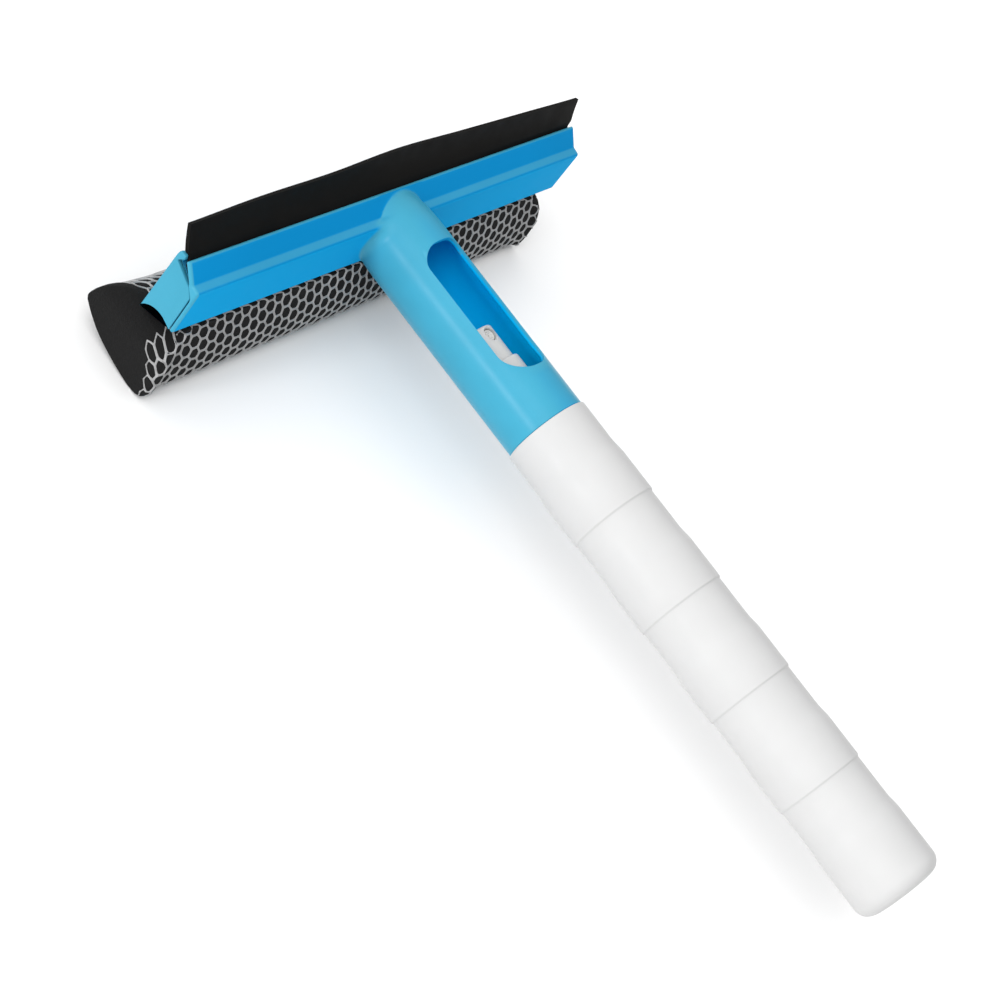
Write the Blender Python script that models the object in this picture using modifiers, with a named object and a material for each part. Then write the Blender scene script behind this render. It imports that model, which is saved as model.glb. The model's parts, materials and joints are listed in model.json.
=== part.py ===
"""Window cleaning squeegee: a moulded T-head with a rubber blade and a net-covered sponge,
plugged on a bottle that is its handle and carries a fine-mist spray pump.

Metres. The tool lies on its back: X runs along the crossbar, +Y from the bottle to the head,
+Z is the side that the finger window, the nozzle and the blade face. Sections are drawn as
(z, y) pairs in millimetres, measured from a datum inside the ridge, the crossbar's front
edge, where the flange and the lower plate meet.
"""

import math

import bmesh
import bpy
from mathutils import Vector

MM = 0.001
GAP = 0.3  # clearance between neighbouring solids, mm

# Crossbar section, mm
BAR_HALF = 100.0
WALL = 1.4
FLANGE_WALL = 1.5
LOWER_WALL = 1.3
FLANGE_LIP = (6.0, 8.0)
FLANGE_FOOT = (0.9, 2.75)
RIDGE = (0.45, -0.42)
RIDGE_RADIUS = 1.1
LOWER_LIP = (-17.8, -1.25)
REAR_LIP = (-21.6, 12.6)
BEAD_CENTRE = (4.55, 11.8)
BEAD_RADIUS = 1.0
BEAD_START = 150.0
BEAD_END = -130.0
WEB_LINE = ((-0.95, 3.6), (2.4, 12.1))
SLOT_FLOOR = 4.0
SLOT_TOP = 10.9

# Tube and finger window, mm
AXIS_Z = -7.45
TUBE_RADIUS = 14.4
BORE_RADIUS = 12.9
TUBE_END = -83.1
BORE_TOP = -3.0
SPONGE_RELIEF = ((-34.0, -8.5), (-23.0, -4.2), (-17.3, -2.2))
HUB_PROFILE = ((0.0, 9.0), (7.0, 8.8), (11.0, 8.0), (13.2, 6.7), (14.15, 5.0), (TUBE_RADIUS, 3.0))
WINDOW_HALF = 9.8
WINDOW_TOP = -14.2
WINDOW_BOTTOM = -65.8
WINDOW_CORNER = 6.8

# End caps, mm
CAP_THICK = 1.5
SEAT_CENTRE = (-25.0, 5.5)
SEAT_RADIUS = 7.9
PLUG_OUTLINE = ((-7.4, 1.75), (-4.2, 1.75), (-1.0, 9.4), (-7.4, 9.8))
PLUG_DEPTH = 6.0

# Rubber blade, mm and degrees, at the left end, the middle and the right end
BLADE_HALF = 99.2
BLADE_ROOT = ((0.2, 5.0), (1.65, 7.08), (2.75, 8.75))
BLADE_ROOT_HALVES = (0.2, 0.7, 0.85)
BLADE_MOUTH = (4.6, 9.7)
BLADE_MOUTH_HALF = 0.4
BLADE_SHOULDER = 2.6
BLADE_BODY_HALF = 0.8
BLADE_TIP_HALF = 0.55
BLADE_LENGTHS = (11.6, 13.2, 11.0)
BLADE_ANGLES = (33.0, 33.5, 22.0)
BLADE_STATIONS = 24

# Sponge, mm: a fan-shaped section pinched by the channel's lips
SPONGE_NECK_TOP = ((-10.0, 9.4), (-22.0, 10.1))
SPONGE_BODY = (
    (-22.9, 12.0), (-23.2, 17.0), (-24.2, 20.8), (-26.6, 24.0), (-30.0, 26.3), (-33.8, 27.8),
    (-37.0, 28.3), (-39.2, 25.8), (-41.0, 22.8), (-42.9, 18.9), (-44.4, 14.2), (-45.5, 9.2),
    (-46.3, 4.0), (-46.7, -0.6), (-46.2, -4.4), (-44.6, -6.4), (-41.0, -6.9), (-36.0, -6.6),
    (-31.0, -5.7), (-26.5, -4.3), (-22.6, -2.9), (-19.4, -1.4),
)
SPONGE_NECK_BOTTOM = ((-19.2, 1.8), (-10.0, 2.5))
SPONGE_HALF = 100.0
SPONGE_PINCH = 6.0
PINCH_FROM = -32.0
PINCH_TO = -20.0
NET_HALF = 92.6
NET_INSET = 1.1
NET_THICK = 0.5
STRIP_OUTLINE = ((-9.6, 2.2), (-8.1, 2.2), (-8.1, 9.2), (-9.6, 9.2))
STRIP_HALF = 90.0

# Bottle, mm along the handle from the ridge, and radii from the handle's axis
BOTTLE_BOTTOM = -268.0
FIRST_STEP = -101.5
BAND_PITCH = 17.73
BAND_COUNT = 8
BAND_NARROW = 15.0
BAND_WIDE = 15.5
STEP_RUN = 0.5
BOTTLE_WALL = 1.2
BASE_CORNER = 5.0
BASE_DIMPLE = 1.5
SPIGOT_RADIUS = 12.3
SPIGOT_BEAD = 12.6
SPIGOT_TOP = -77.5
NECK_RADIUS = 8.6
THREAD_RADIUS = 9.15
THREAD_HEIGHTS = (-71.0, -74.0)
NECK_TOP = -68.9
NECK_BORE = 7.2

# Spray pump, mm
GASKET = (5.7, 8.6, -68.6, -67.7)
PUMP_RADIUS = 5.2
CHAMBER_RADIUS = 4.2
PISTON_TOP = -72.0
PISTON_LENGTH = 4.0
SPRING_FOOT = -89.4
SPRING_TURNS = 5
SPRING_RADIUS = 3.0
SPRING_WIRE = 0.35
ACTUATOR_RADIUS = 6.4
ACTUATOR_TOP = -44.0
ACTUATOR_BOTTOM = -58.6
NOZZLE_HEIGHT = -47.5
NOZZLE_RADIUS = 2.1
NOZZLE_FACE = 5.4
COLLAR_RADIUS = 7.7
COLLAR_TOP = -57.3
SKIRT_RADIUS = 10.8
SKIRT_TOP = -65.0
SKIRT_BOTTOM = -76.0
SKIRT_RIBS = 24
RIB_DEPTH = 0.35
STEM_RADIUS = 1.6
BALL_RADIUS = 1.4
BALL_HEIGHT = -91.2
DIP_RADIUS = 1.6
DIP_END = -262.0

# The rest pose's box stands on the origin at the middle of its lower face
ORIGIN_Y = -0.5 * (BOTTLE_BOTTOM + max(y for _, y in SPONGE_BODY))
ORIGIN_Z = -min(z for z, _ in SPONGE_BODY)

SEGMENTS = 40
FINE_SEGMENTS = 64
SMALL_SEGMENTS = 24

COLOURS = {
    "head_blue": ((0.012, 0.36, 0.66, 1.0), 0.38),
    "cap_blue": ((0.10, 0.48, 0.68, 1.0), 0.40),
    "rubber": ((0.012, 0.012, 0.012, 1.0), 0.55),
    "foam": ((0.02, 0.02, 0.02, 1.0), 0.95),
    "net": ((0.62, 0.62, 0.62, 1.0), 0.50),
    "bottle_white": ((0.86, 0.86, 0.86, 1.0), 0.42),
    "pump_white": ((0.72, 0.72, 0.71, 1.0), 0.35),
    "clear_tube": ((0.80, 0.82, 0.82, 1.0), 0.25),
    "seal_grey": ((0.30, 0.30, 0.30, 1.0), 0.60),
    "steel": ((0.55, 0.55, 0.55, 1.0), 0.25),
}


def clear_scene():
    """Remove every object that the file opened with."""
    for old in list(bpy.data.objects):
        bpy.data.objects.remove(old, do_unlink=True)


def make_collection(name):
    group = bpy.data.collections.new(name)
    bpy.context.scene.collection.children.link(group)
    return group


def make_material(name):
    """Principled material from the colour table; only steel is metallic."""
    colour, roughness = COLOURS[name]
    material = bpy.data.materials.new(name)
    material.use_nodes = True
    shader = material.node_tree.nodes["Principled BSDF"]
    shader.inputs["Base Color"].default_value = colour
    shader.inputs["Roughness"].default_value = roughness
    shader.inputs["Metallic"].default_value = 1.0 if name == "steel" else 0.0
    return material


clear_scene()
PARTS = make_collection("window_cleaning_squeegee")
CUTTERS = make_collection("cutters")
MATERIALS = {name: make_material(name) for name in COLOURS}
TOOL_ORIGIN = bpy.data.objects.new("tool_origin", None)
PARTS.objects.link(TOOL_ORIGIN)
TOOL_ORIGIN.location = (0.0, ORIGIN_Y * MM, ORIGIN_Z * MM)


def object_from_bmesh(name, mesh, material, collection=None):
    """Link a new object for a bmesh in millimetres, scaled to metres, under the tool's origin."""
    bmesh.ops.scale(mesh, vec=(MM, MM, MM), verts=mesh.verts)
    bmesh.ops.recalc_face_normals(mesh, faces=mesh.faces)
    data = bpy.data.meshes.new(name)
    mesh.to_mesh(data)
    mesh.free()
    thing = bpy.data.objects.new(name, data)
    (collection or PARTS).objects.link(thing)
    thing.parent = TOOL_ORIGIN
    if material:
        data.materials.append(MATERIALS[material])
    return thing


def smooth(thing, angle=35.0):
    thing.data.shade_smooth()
    thing.data.set_sharp_from_angle(angle=math.radians(angle))


def prism(name, outline, low_x, high_x, material=None, collection=None):
    """Extrude a closed (z, y) outline along X."""
    mesh = bmesh.new()
    face = mesh.faces.new([mesh.verts.new((low_x, y, z)) for z, y in outline])
    grown = bmesh.ops.extrude_face_region(mesh, geom=[face])
    moved = [item for item in grown["geom"] if isinstance(item, bmesh.types.BMVert)]
    bmesh.ops.translate(mesh, vec=(high_x - low_x, 0.0, 0.0), verts=moved)
    return object_from_bmesh(name, mesh, material, collection)


def loft(name, rings, material):
    """Skin equal rings of (x, y, z) points and close both ends."""
    mesh = bmesh.new()
    loops = [[mesh.verts.new(point) for point in ring] for ring in rings]
    count = len(loops[0])
    for first, second in zip(loops, loops[1:]):
        for i in range(count):
            j = (i + 1) % count
            mesh.faces.new((first[i], first[j], second[j], second[i]))
    mesh.faces.new(loops[0])
    mesh.faces.new(reversed(loops[-1]))
    return object_from_bmesh(name, mesh, material)


def turned(name, profile, material=None, closed=False, steps=SEGMENTS, centre=0.0, collection=None):
    """Turn a (radius, height) profile about the handle's axis with a Screw modifier.

    The profile runs down its outer side. Its heights are along +Y and its origin lies on the
    axis at height centre.
    """
    data = bpy.data.meshes.new(name)
    points = [(radius * MM, 0.0, (height - centre) * MM) for radius, height in profile]
    links = [(i, i + 1) for i in range(len(points) - 1)]
    if closed:
        links.append((len(points) - 1, 0))
    data.from_pydata(points, links, [])
    thing = bpy.data.objects.new(name, data)
    (collection or PARTS).objects.link(thing)
    thing.parent = TOOL_ORIGIN
    thing.location = (0.0, centre * MM, AXIS_Z * MM)
    thing.rotation_euler = (-math.pi / 2, 0.0, 0.0)
    screw = thing.modifiers.new("turn", "SCREW")
    screw.steps = steps
    screw.render_steps = steps
    screw.use_merge_vertices = True
    screw.merge_threshold = 0.00001
    screw.use_smooth_shade = True
    if material:
        data.materials.append(MATERIALS[material])
    return thing


def as_cutter(thing):
    thing.hide_render = True
    thing.display_type = "WIRE"
    return thing


def boolean(thing, other, operation):
    """Apply other to thing as a live Boolean and keep other as a hidden guide."""
    as_cutter(other)
    if other.name not in CUTTERS.objects:
        PARTS.objects.unlink(other)
        CUTTERS.objects.link(other)
    step = thing.modifiers.new(operation.lower() + "_" + other.name, "BOOLEAN")
    step.operation = operation
    step.object = other
    step.solver = "EXACT"


def arc(centre, radius, start, end, count):
    """Points of an arc in a (z, y) section, angles in degrees from +Z towards +Y."""
    points = []
    for i in range(count + 1):
        angle = math.radians(start + (end - start) * i / count)
        points.append((centre[0] + radius * math.cos(angle), centre[1] + radius * math.sin(angle)))
    return points


def unit(start, end):
    return (Vector(end) - Vector(start)).normalized()


FLANGE_ALONG = unit(FLANGE_FOOT, FLANGE_LIP)
FLANGE_INWARD = Vector((-FLANGE_ALONG.y, FLANGE_ALONG.x))
FLANGE_LENGTH = (Vector(FLANGE_LIP) - Vector(FLANGE_FOOT)).length
BAND_ALONG = unit(RIDGE, FLANGE_FOOT)
BAND_INWARD = Vector((-BAND_ALONG.y, BAND_ALONG.x))
LOWER_ALONG = unit(RIDGE, LOWER_LIP)
LOWER_INWARD = Vector((LOWER_ALONG.y, -LOWER_ALONG.x))
WEB_ALONG = unit(*WEB_LINE)
WEB_INWARD = Vector((-WEB_ALONG.y, WEB_ALONG.x))


def flange_point(distance, offset):
    """A section point at a distance up the flange and an offset behind its outer face."""
    return Vector(FLANGE_FOOT) + FLANGE_ALONG * distance + FLANGE_INWARD * offset


def lower_point(distance, offset):
    """A section point at a distance back along the lower plate and an offset above its outer face."""
    return Vector(RIDGE) + LOWER_ALONG * distance + LOWER_INWARD * offset


def web_point(offset, y=None):
    """A section point at an offset behind the web's front face, at a height or at its foot."""
    point = Vector(WEB_LINE[0]) + WEB_INWARD * offset
    if y is None:
        return point
    return point + WEB_ALONG * ((y - point.y) / WEB_ALONG.y)


def meet(point_a, along_a, point_b, along_b):
    """Where two section lines cross."""
    cross = along_a.x * along_b.y - along_a.y * along_b.x
    reach = Vector(point_b) - Vector(point_a)
    return Vector(point_a) + along_a * ((reach.x * along_b.y - reach.y * along_b.x) / cross)


def ridge_arc():
    """Rounded outer edge between the ridge's front band and the lower plate."""
    across = Vector(RIDGE) + BAND_INWARD * RIDGE_RADIUS
    centre = meet(across, BAND_ALONG, lower_point(0.0, RIDGE_RADIUS), LOWER_ALONG)
    start = math.degrees(math.atan2(-BAND_INWARD.y, -BAND_INWARD.x))
    end = math.degrees(math.atan2(-LOWER_INWARD.y, -LOWER_INWARD.x))
    return arc(centre, RIDGE_RADIUS, start, end, 4)


def bead_arc():
    """Rolled front edge of the top plate."""
    return arc(BEAD_CENTRE, BEAD_RADIUS, BEAD_START, BEAD_END, 10)


def bar_outline():
    """Walls of the crossbar: flange, ridge, lower plate, web, top plate with its bead, and slot."""
    bead = bead_arc()
    top_along = unit(REAR_LIP, bead[0])
    top_inner = Vector(REAR_LIP) + Vector((top_along.y, -top_along.x)) * WALL
    slot_back = flange_point(0.0, FLANGE_WALL)
    slot_rise = (SLOT_FLOOR - slot_back.y) / FLANGE_ALONG.y
    return [
        FLANGE_LIP, FLANGE_FOOT, *ridge_arc(), LOWER_LIP, tuple(Vector(LOWER_LIP) + LOWER_INWARD * LOWER_WALL),
        tuple(meet(lower_point(0.0, LOWER_WALL), LOWER_ALONG, web_point(WALL), WEB_ALONG)),
        tuple(meet(top_inner, top_along, web_point(WALL), WEB_ALONG)), tuple(top_inner), REAR_LIP, *bead,
        tuple(web_point(0.0, SLOT_TOP)), tuple(web_point(0.0, SLOT_FLOOR)),
        tuple(flange_point(slot_rise, FLANGE_WALL)), tuple(flange_point(FLANGE_LENGTH, FLANGE_WALL)),
    ]


def cap_seat_cutter(name, low_x, high_x):
    """Clears the web and the top plate at a crossbar end, where the end cap sits."""
    rear = lower_point(30.0, LOWER_WALL + 0.1)
    corner = meet(rear, LOWER_ALONG, flange_point(0.0, FLANGE_WALL + 0.1), FLANGE_ALONG)
    outline = [rear, corner, flange_point(FLANGE_LENGTH + 2.0, FLANGE_WALL + 0.1), (12.0, 20.0), (-34.0, 20.0)]
    return prism(name, [tuple(point) for point in outline], low_x, high_x, None, CUTTERS)


def make_head():
    """One moulding: the crossbar's walls and the tube, with its bore and its finger window."""
    head = prism("head", bar_outline(), -BAR_HALF, BAR_HALF, "head_blue")
    inner = BAR_HALF - CAP_THICK - GAP
    boolean(head, cap_seat_cutter("left_cap_seat", -BAR_HALF - 1.0, -inner), "DIFFERENCE")
    boolean(head, cap_seat_cutter("right_cap_seat", inner, BAR_HALF + 1.0), "DIFFERENCE")

    tube_profile = [*HUB_PROFILE, (TUBE_RADIUS, TUBE_END), (0.0, TUBE_END)]
    tube = turned("tube_body", tube_profile, None, steps=FINE_SEGMENTS, collection=CUTTERS)
    inside = 0.5 * WALL
    behind = [
        *SPONGE_RELIEF, tuple(lower_point(RIDGE[0] - SPONGE_RELIEF[-1][0], inside)),
        tuple(meet(lower_point(0.0, inside), LOWER_ALONG, flange_point(0.0, inside), FLANGE_ALONG)),
        tuple(flange_point(FLANGE_LENGTH + 6.0, inside)),
        (-34.0, 20.0),
    ]
    boolean(tube, prism("channel_space", behind, -20.0, 20.0, None, CUTTERS), "DIFFERENCE")

    bore_profile = [(0.0, BORE_TOP), (BORE_RADIUS - 2.0, BORE_TOP), (BORE_RADIUS - 0.6, BORE_TOP - 0.6)]
    bore_profile += [(BORE_RADIUS, BORE_TOP - 2.0), (BORE_RADIUS, TUBE_END - 2.0), (0.0, TUBE_END - 2.0)]
    bore = turned("tube_bore", bore_profile, None, steps=FINE_SEGMENTS, collection=CUTTERS)
    boolean(tube, bore, "DIFFERENCE")
    boolean(tube, window_cutter(), "DIFFERENCE")
    boolean(head, tube, "UNION")
    smooth(head)
    return head


def window_cutter():
    """Round-cornered block through the tube's front wall."""
    high = WINDOW_HALF - WINDOW_CORNER
    corners = ((high, WINDOW_TOP - WINDOW_CORNER, 0.0), (-high, WINDOW_TOP - WINDOW_CORNER, 90.0),
               (-high, WINDOW_BOTTOM + WINDOW_CORNER, 180.0), (high, WINDOW_BOTTOM + WINDOW_CORNER, 270.0))
    mesh = bmesh.new()
    verts = []
    for x, y, start in corners:
        for along, up in arc((x, y), WINDOW_CORNER, start, start + 90.0, 7):
            verts.append(mesh.verts.new((along, up, AXIS_Z + 1.0)))
    face = mesh.faces.new(verts)
    grown = bmesh.ops.extrude_face_region(mesh, geom=[face])
    moved = [item for item in grown["geom"] if isinstance(item, bmesh.types.BMVert)]
    bmesh.ops.translate(mesh, vec=(0.0, 0.0, TUBE_RADIUS + 5.0), verts=moved)
    return object_from_bmesh("finger_window", mesh, None, CUTTERS)


def make_end_cap(name, side):
    """Flat panel that closes a crossbar end, with a plug that goes into the channel."""
    seam = lower_point(0.0, LOWER_WALL + GAP + 0.1)
    behind_flange = flange_point(0.0, FLANGE_WALL + GAP)
    seat_foot = seam + LOWER_ALONG * (seam.x + 18.2)
    outline = [
        *arc(SEAT_CENTRE, SEAT_RADIUS, 64.5, -28.0, 10), tuple(seat_foot),
        tuple(meet(seam, LOWER_ALONG, behind_flange, FLANGE_ALONG)),
        tuple(meet(web_point(0.0), WEB_ALONG, behind_flange, FLANGE_ALONG)), tuple(web_point(0.0, SLOT_TOP)),
        *reversed(bead_arc()),
    ]
    outer = side * BAR_HALF
    inner = side * (BAR_HALF - CAP_THICK)
    cap = prism(name, outline, min(outer, inner), max(outer, inner), "cap_blue")
    plug_end = side * (BAR_HALF - CAP_THICK - PLUG_DEPTH)
    overlap = side * (BAR_HALF - 0.5 * CAP_THICK)
    plug = prism(name + "_plug", PLUG_OUTLINE, min(overlap, plug_end), max(overlap, plug_end), None, CUTTERS)
    boolean(cap, plug, "UNION")
    return cap


def between(values, position):
    """Quadratic through the values at the left end (-1), the middle (0) and the right end (1)."""
    left, middle, right = values
    return middle + 0.5 * (right - left) * position + (0.5 * (left + right) - middle) * position ** 2


def blade_ring(x):
    """Blade section at x: a root in the slot and a lip that leans forward from the mouth."""
    position = x / BLADE_HALF
    length = between(BLADE_LENGTHS, position)
    angle = math.radians(between(BLADE_ANGLES, position))
    lean = Vector((math.cos(angle), math.sin(angle)))
    mouth = Vector(BLADE_MOUTH)
    centres = [Vector(point) for point in BLADE_ROOT]
    centres += [mouth, mouth + lean * BLADE_SHOULDER, mouth + lean * length]
    halves = [*BLADE_ROOT_HALVES, BLADE_MOUTH_HALF, BLADE_BODY_HALF, BLADE_TIP_HALF]
    front = []
    rear = []
    for i, (centre, half) in enumerate(zip(centres, halves)):
        before = centres[max(i - 1, 0)]
        after = centres[min(i + 1, len(centres) - 1)]
        along = (after - before).normalized()
        across = Vector((along.y, -along.x)) * half
        front.append(centre + across)
        rear.append(centre - across)
    return [(x, point.y, point.x) for point in front + rear[::-1]]


def make_blade():
    stations = [BLADE_HALF * (2.0 * i / BLADE_STATIONS - 1.0) for i in range(BLADE_STATIONS + 1)]
    return loft("rubber_blade", [blade_ring(x) for x in stations], "rubber")


def offset_path(points, distance):
    """Offset an open section path to its left by a distance, with mitred corners."""
    moved = []
    for i, point in enumerate(points):
        here = Vector(point)
        back = Vector(points[i - 1]) if i else None
        ahead = Vector(points[i + 1]) if i + 1 < len(points) else None
        normals = []
        for start, end in ((back, here), (here, ahead)):
            if start is not None and end is not None:
                along = (end - start).normalized()
                normals.append(Vector((-along.y, along.x)))
        normal = sum(normals, Vector((0.0, 0.0))).normalized()
        moved.append(tuple(here + normal * (distance / normal.dot(normals[0]))))
    return moved


def sponge_half(z):
    """Half length of the foam at a depth: its free back spreads past its pinched neck."""
    share = min(1.0, max(0.0, (z - PINCH_FROM) / (PINCH_TO - PINCH_FROM)))
    return SPONGE_HALF - SPONGE_PINCH * share ** 2


def sponge_ring(body, x=None, side=0):
    outline = [*SPONGE_NECK_TOP, *body, *SPONGE_NECK_BOTTOM]
    if x is None:
        return [(side * sponge_half(z), y, z) for z, y in outline]
    return [(x, y, z) for z, y in outline]


def make_sponge():
    """Foam pad, full at its bare ends and drawn in where the net holds it."""
    held = offset_path(SPONGE_BODY, NET_INSET)
    bare = NET_HALF + 0.4
    rings = [
        sponge_ring(SPONGE_BODY, side=-1), sponge_ring(SPONGE_BODY, x=-bare - 0.8),
        sponge_ring(held, x=-bare), sponge_ring(held, x=bare),
        sponge_ring(SPONGE_BODY, x=bare + 0.8), sponge_ring(SPONGE_BODY, side=1),
    ]
    return loft("sponge", rings, "foam")


def make_net():
    """Net sleeve round the foam, with both edges tucked into the channel."""
    held = offset_path(SPONGE_BODY, NET_INSET)
    path = [*SPONGE_NECK_TOP, *held, *SPONGE_NECK_BOTTOM]
    inner = offset_path(path, -GAP)
    outer = offset_path(path, -GAP - NET_THICK)
    return prism("net_sleeve", inner + outer[::-1], -NET_HALF, NET_HALF, "net")


def bottle_outer():
    """Outer side of the bottle, down from the neck's rim to the middle of its base."""
    profile = [(NECK_BORE, NECK_TOP), (NECK_RADIUS, NECK_TOP)]
    for height in THREAD_HEIGHTS:
        profile += [(NECK_RADIUS, height + 0.9), (THREAD_RADIUS, height + 0.3)]
        profile += [(THREAD_RADIUS, height - 0.3), (NECK_RADIUS, height - 0.9)]
    profile += [(NECK_RADIUS, SPIGOT_TOP + 1.2), (NECK_RADIUS + 0.8, SPIGOT_TOP + 0.4)]
    profile += [(SPIGOT_RADIUS - 0.8, SPIGOT_TOP), (SPIGOT_RADIUS, SPIGOT_TOP - 0.8)]
    middle = 0.5 * (SPIGOT_TOP + TUBE_END)
    profile += [(SPIGOT_RADIUS, middle + 0.8), (SPIGOT_BEAD, middle + 0.3)]
    profile += [(SPIGOT_BEAD, middle - 0.3), (SPIGOT_RADIUS, middle - 0.8)]
    ledge = TUBE_END - GAP - 0.1
    profile += [(SPIGOT_RADIUS, ledge), (BAND_NARROW - 0.5, ledge), (BAND_NARROW, ledge - 0.5)]
    radius = BAND_NARROW
    for i in range(BAND_COUNT + 1):
        height = FIRST_STEP - BAND_PITCH * i
        other = BAND_WIDE if radius == BAND_NARROW else BAND_NARROW
        profile += [(radius, height + 0.5 * STEP_RUN), (other, height - 0.5 * STEP_RUN)]
        radius = other
    centre = (BAND_WIDE - BASE_CORNER, BOTTLE_BOTTOM + BASE_CORNER)
    profile += arc(centre, BASE_CORNER, 0.0, -90.0, 6)
    profile += [(BAND_WIDE - BASE_CORNER - 2.0, BOTTLE_BOTTOM), (4.0, BOTTLE_BOTTOM + BASE_DIMPLE)]
    profile.append((0.0, BOTTLE_BOTTOM + BASE_DIMPLE))
    return profile


def bottle_inner():
    """Inner side of the bottle, up from the middle of its base to the neck's rim."""
    inner = BAND_NARROW - BOTTLE_WALL
    base = BOTTLE_BOTTOM + BASE_DIMPLE + BOTTLE_WALL
    shoulder = SPIGOT_TOP - BOTTLE_WALL
    return [
        (0.0, base), (4.0, base), (inner - 4.0, base - 0.6), (inner - 1.2, base + 1.0),
        (inner, base + 4.0), (inner, TUBE_END - 3.0), (SPIGOT_RADIUS - BOTTLE_WALL, TUBE_END - 1.2),
        (SPIGOT_RADIUS - BOTTLE_WALL, shoulder - 0.6), (NECK_BORE + 1.0, shoulder), (NECK_BORE, shoulder + 0.8),
    ]


def make_bottle():
    """Blow-moulded bottle whose stepped bands are the handle's grip."""
    return turned("bottle", bottle_outer() + bottle_inner(), "bottle_white", closed=True, steps=SEGMENTS,
                  centre=TUBE_END)


def ring_profile(inner, outer, bottom, top):
    return [(outer, top), (outer, bottom), (inner, bottom), (inner, top)]


def make_gasket():
    inner, outer, bottom, top = GASKET
    return turned("neck_gasket", ring_profile(inner, outer, bottom, top), "seal_grey", closed=True,
                  steps=SEGMENTS, centre=bottom)


def make_housing():
    """Pump housing: a flange on the neck's gasket, the chamber, the ball seat and the tube socket."""
    top = GASKET[3] + GAP
    profile = [
        (CHAMBER_RADIUS, top + 1.0), (8.4, top + 1.0), (8.4, top), (PUMP_RADIUS, top),
        (PUMP_RADIUS, -90.5), (3.4, -93.2), (2.7, -94.0), (2.7, -101.0), (DIP_RADIUS + GAP, -101.0),
        (DIP_RADIUS + GAP, -94.6), (0.9, -94.4), (0.9, -92.8), (2.0, -91.0), (2.0, -89.9),
        (CHAMBER_RADIUS, -89.9),
    ]
    return turned("pump_housing", profile, "pump_white", closed=True, steps=SMALL_SEGMENTS, centre=top)


def make_stem_guide():
    """Turret that closes the chamber and guides the stem."""
    foot = GASKET[3] + GAP + 1.0 + GAP
    profile = [
        (STEM_RADIUS + GAP, -60.6), (4.0, -60.6), (4.6, -61.2), (4.6, foot + 0.8), (6.2, foot + 0.8),
        (6.2, foot), (CHAMBER_RADIUS - GAP, foot), (CHAMBER_RADIUS - GAP, -68.0), (STEM_RADIUS + GAP, -68.0),
    ]
    return turned("stem_guide", profile, "pump_white", closed=True, steps=SMALL_SEGMENTS, centre=foot)


def make_stem_seal():
    profile = ring_profile(STEM_RADIUS + GAP, CHAMBER_RADIUS - GAP, -69.5, -68.3)
    return turned("stem_seal", profile, "seal_grey", closed=True, steps=SMALL_SEGMENTS, centre=-69.5)


def make_closure():
    """Screw cap: a guide collar round the actuator and a ribbed skirt over the neck."""
    mesh = bmesh.new()
    bmesh.ops.create_circle(mesh, cap_ends=True, radius=SKIRT_RADIUS, segments=SKIRT_RIBS * 4)
    for vert in mesh.verts:
        turn = math.atan2(vert.co.y, vert.co.x) / math.tau * SKIRT_RIBS
        if (turn % 1.0) > 0.49:
            vert.co *= (SKIRT_RADIUS - RIB_DEPTH) / SKIRT_RADIUS
    grown = bmesh.ops.extrude_face_region(mesh, geom=list(mesh.faces))
    moved = [item for item in grown["geom"] if isinstance(item, bmesh.types.BMVert)]
    bmesh.ops.translate(mesh, vec=(0.0, 0.0, SKIRT_TOP - SKIRT_BOTTOM), verts=moved)
    closure = object_from_bmesh("closure", mesh, "pump_white")
    closure.location = (0.0, SKIRT_BOTTOM * MM, AXIS_Z * MM)
    closure.rotation_euler = (-math.pi / 2, 0.0, 0.0)

    collar_profile = [(0.0, COLLAR_TOP), (COLLAR_RADIUS - 0.5, COLLAR_TOP), (COLLAR_RADIUS, COLLAR_TOP - 0.5)]
    collar_profile += [(COLLAR_RADIUS, SKIRT_TOP - 0.8), (0.0, SKIRT_TOP - 0.8)]
    boolean(closure, turned("closure_collar", collar_profile, collection=CUTTERS), "UNION")
    guide = ACTUATOR_RADIUS + GAP
    bore_profile = [
        (0.0, COLLAR_TOP + 1.0), (guide, COLLAR_TOP + 1.0), (guide, SKIRT_TOP - 0.9),
        (THREAD_RADIUS + GAP, SKIRT_TOP - 0.9), (THREAD_RADIUS + GAP, SKIRT_BOTTOM - 1.0),
        (0.0, SKIRT_BOTTOM - 1.0),
    ]
    boolean(closure, turned("closure_bore", bore_profile, collection=CUTTERS), "DIFFERENCE")
    return closure


def make_actuator():
    """Push button with a hollow skirt, a stem socket and a pocket for the nozzle insert."""
    profile = [
        (0.0, ACTUATOR_TOP - 0.4), (4.2, ACTUATOR_TOP - 0.2), (5.6, ACTUATOR_TOP), (6.1, ACTUATOR_TOP - 0.3),
        (ACTUATOR_RADIUS, ACTUATOR_TOP - 0.9), (ACTUATOR_RADIUS, ACTUATOR_BOTTOM),
        (ACTUATOR_RADIUS - 0.9, ACTUATOR_BOTTOM), (ACTUATOR_RADIUS - 0.9, -52.0), (3.0, -52.0),
        (3.0, -55.0), (STEM_RADIUS + GAP, -55.0), (STEM_RADIUS + GAP, -50.0), (0.0, -50.0),
    ]
    actuator = turned("actuator", profile, "pump_white", steps=SMALL_SEGMENTS, centre=ACTUATOR_TOP)
    mesh = bmesh.new()
    bmesh.ops.create_cone(mesh, cap_ends=True, segments=SMALL_SEGMENTS, radius1=NOZZLE_RADIUS + GAP,
                          radius2=NOZZLE_RADIUS + GAP, depth=6.0)
    bmesh.ops.translate(mesh, vec=(0.0, NOZZLE_HEIGHT, AXIS_Z + NOZZLE_FACE), verts=mesh.verts)
    boolean(actuator, object_from_bmesh("nozzle_pocket", mesh, None, CUTTERS), "DIFFERENCE")
    return actuator


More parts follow.
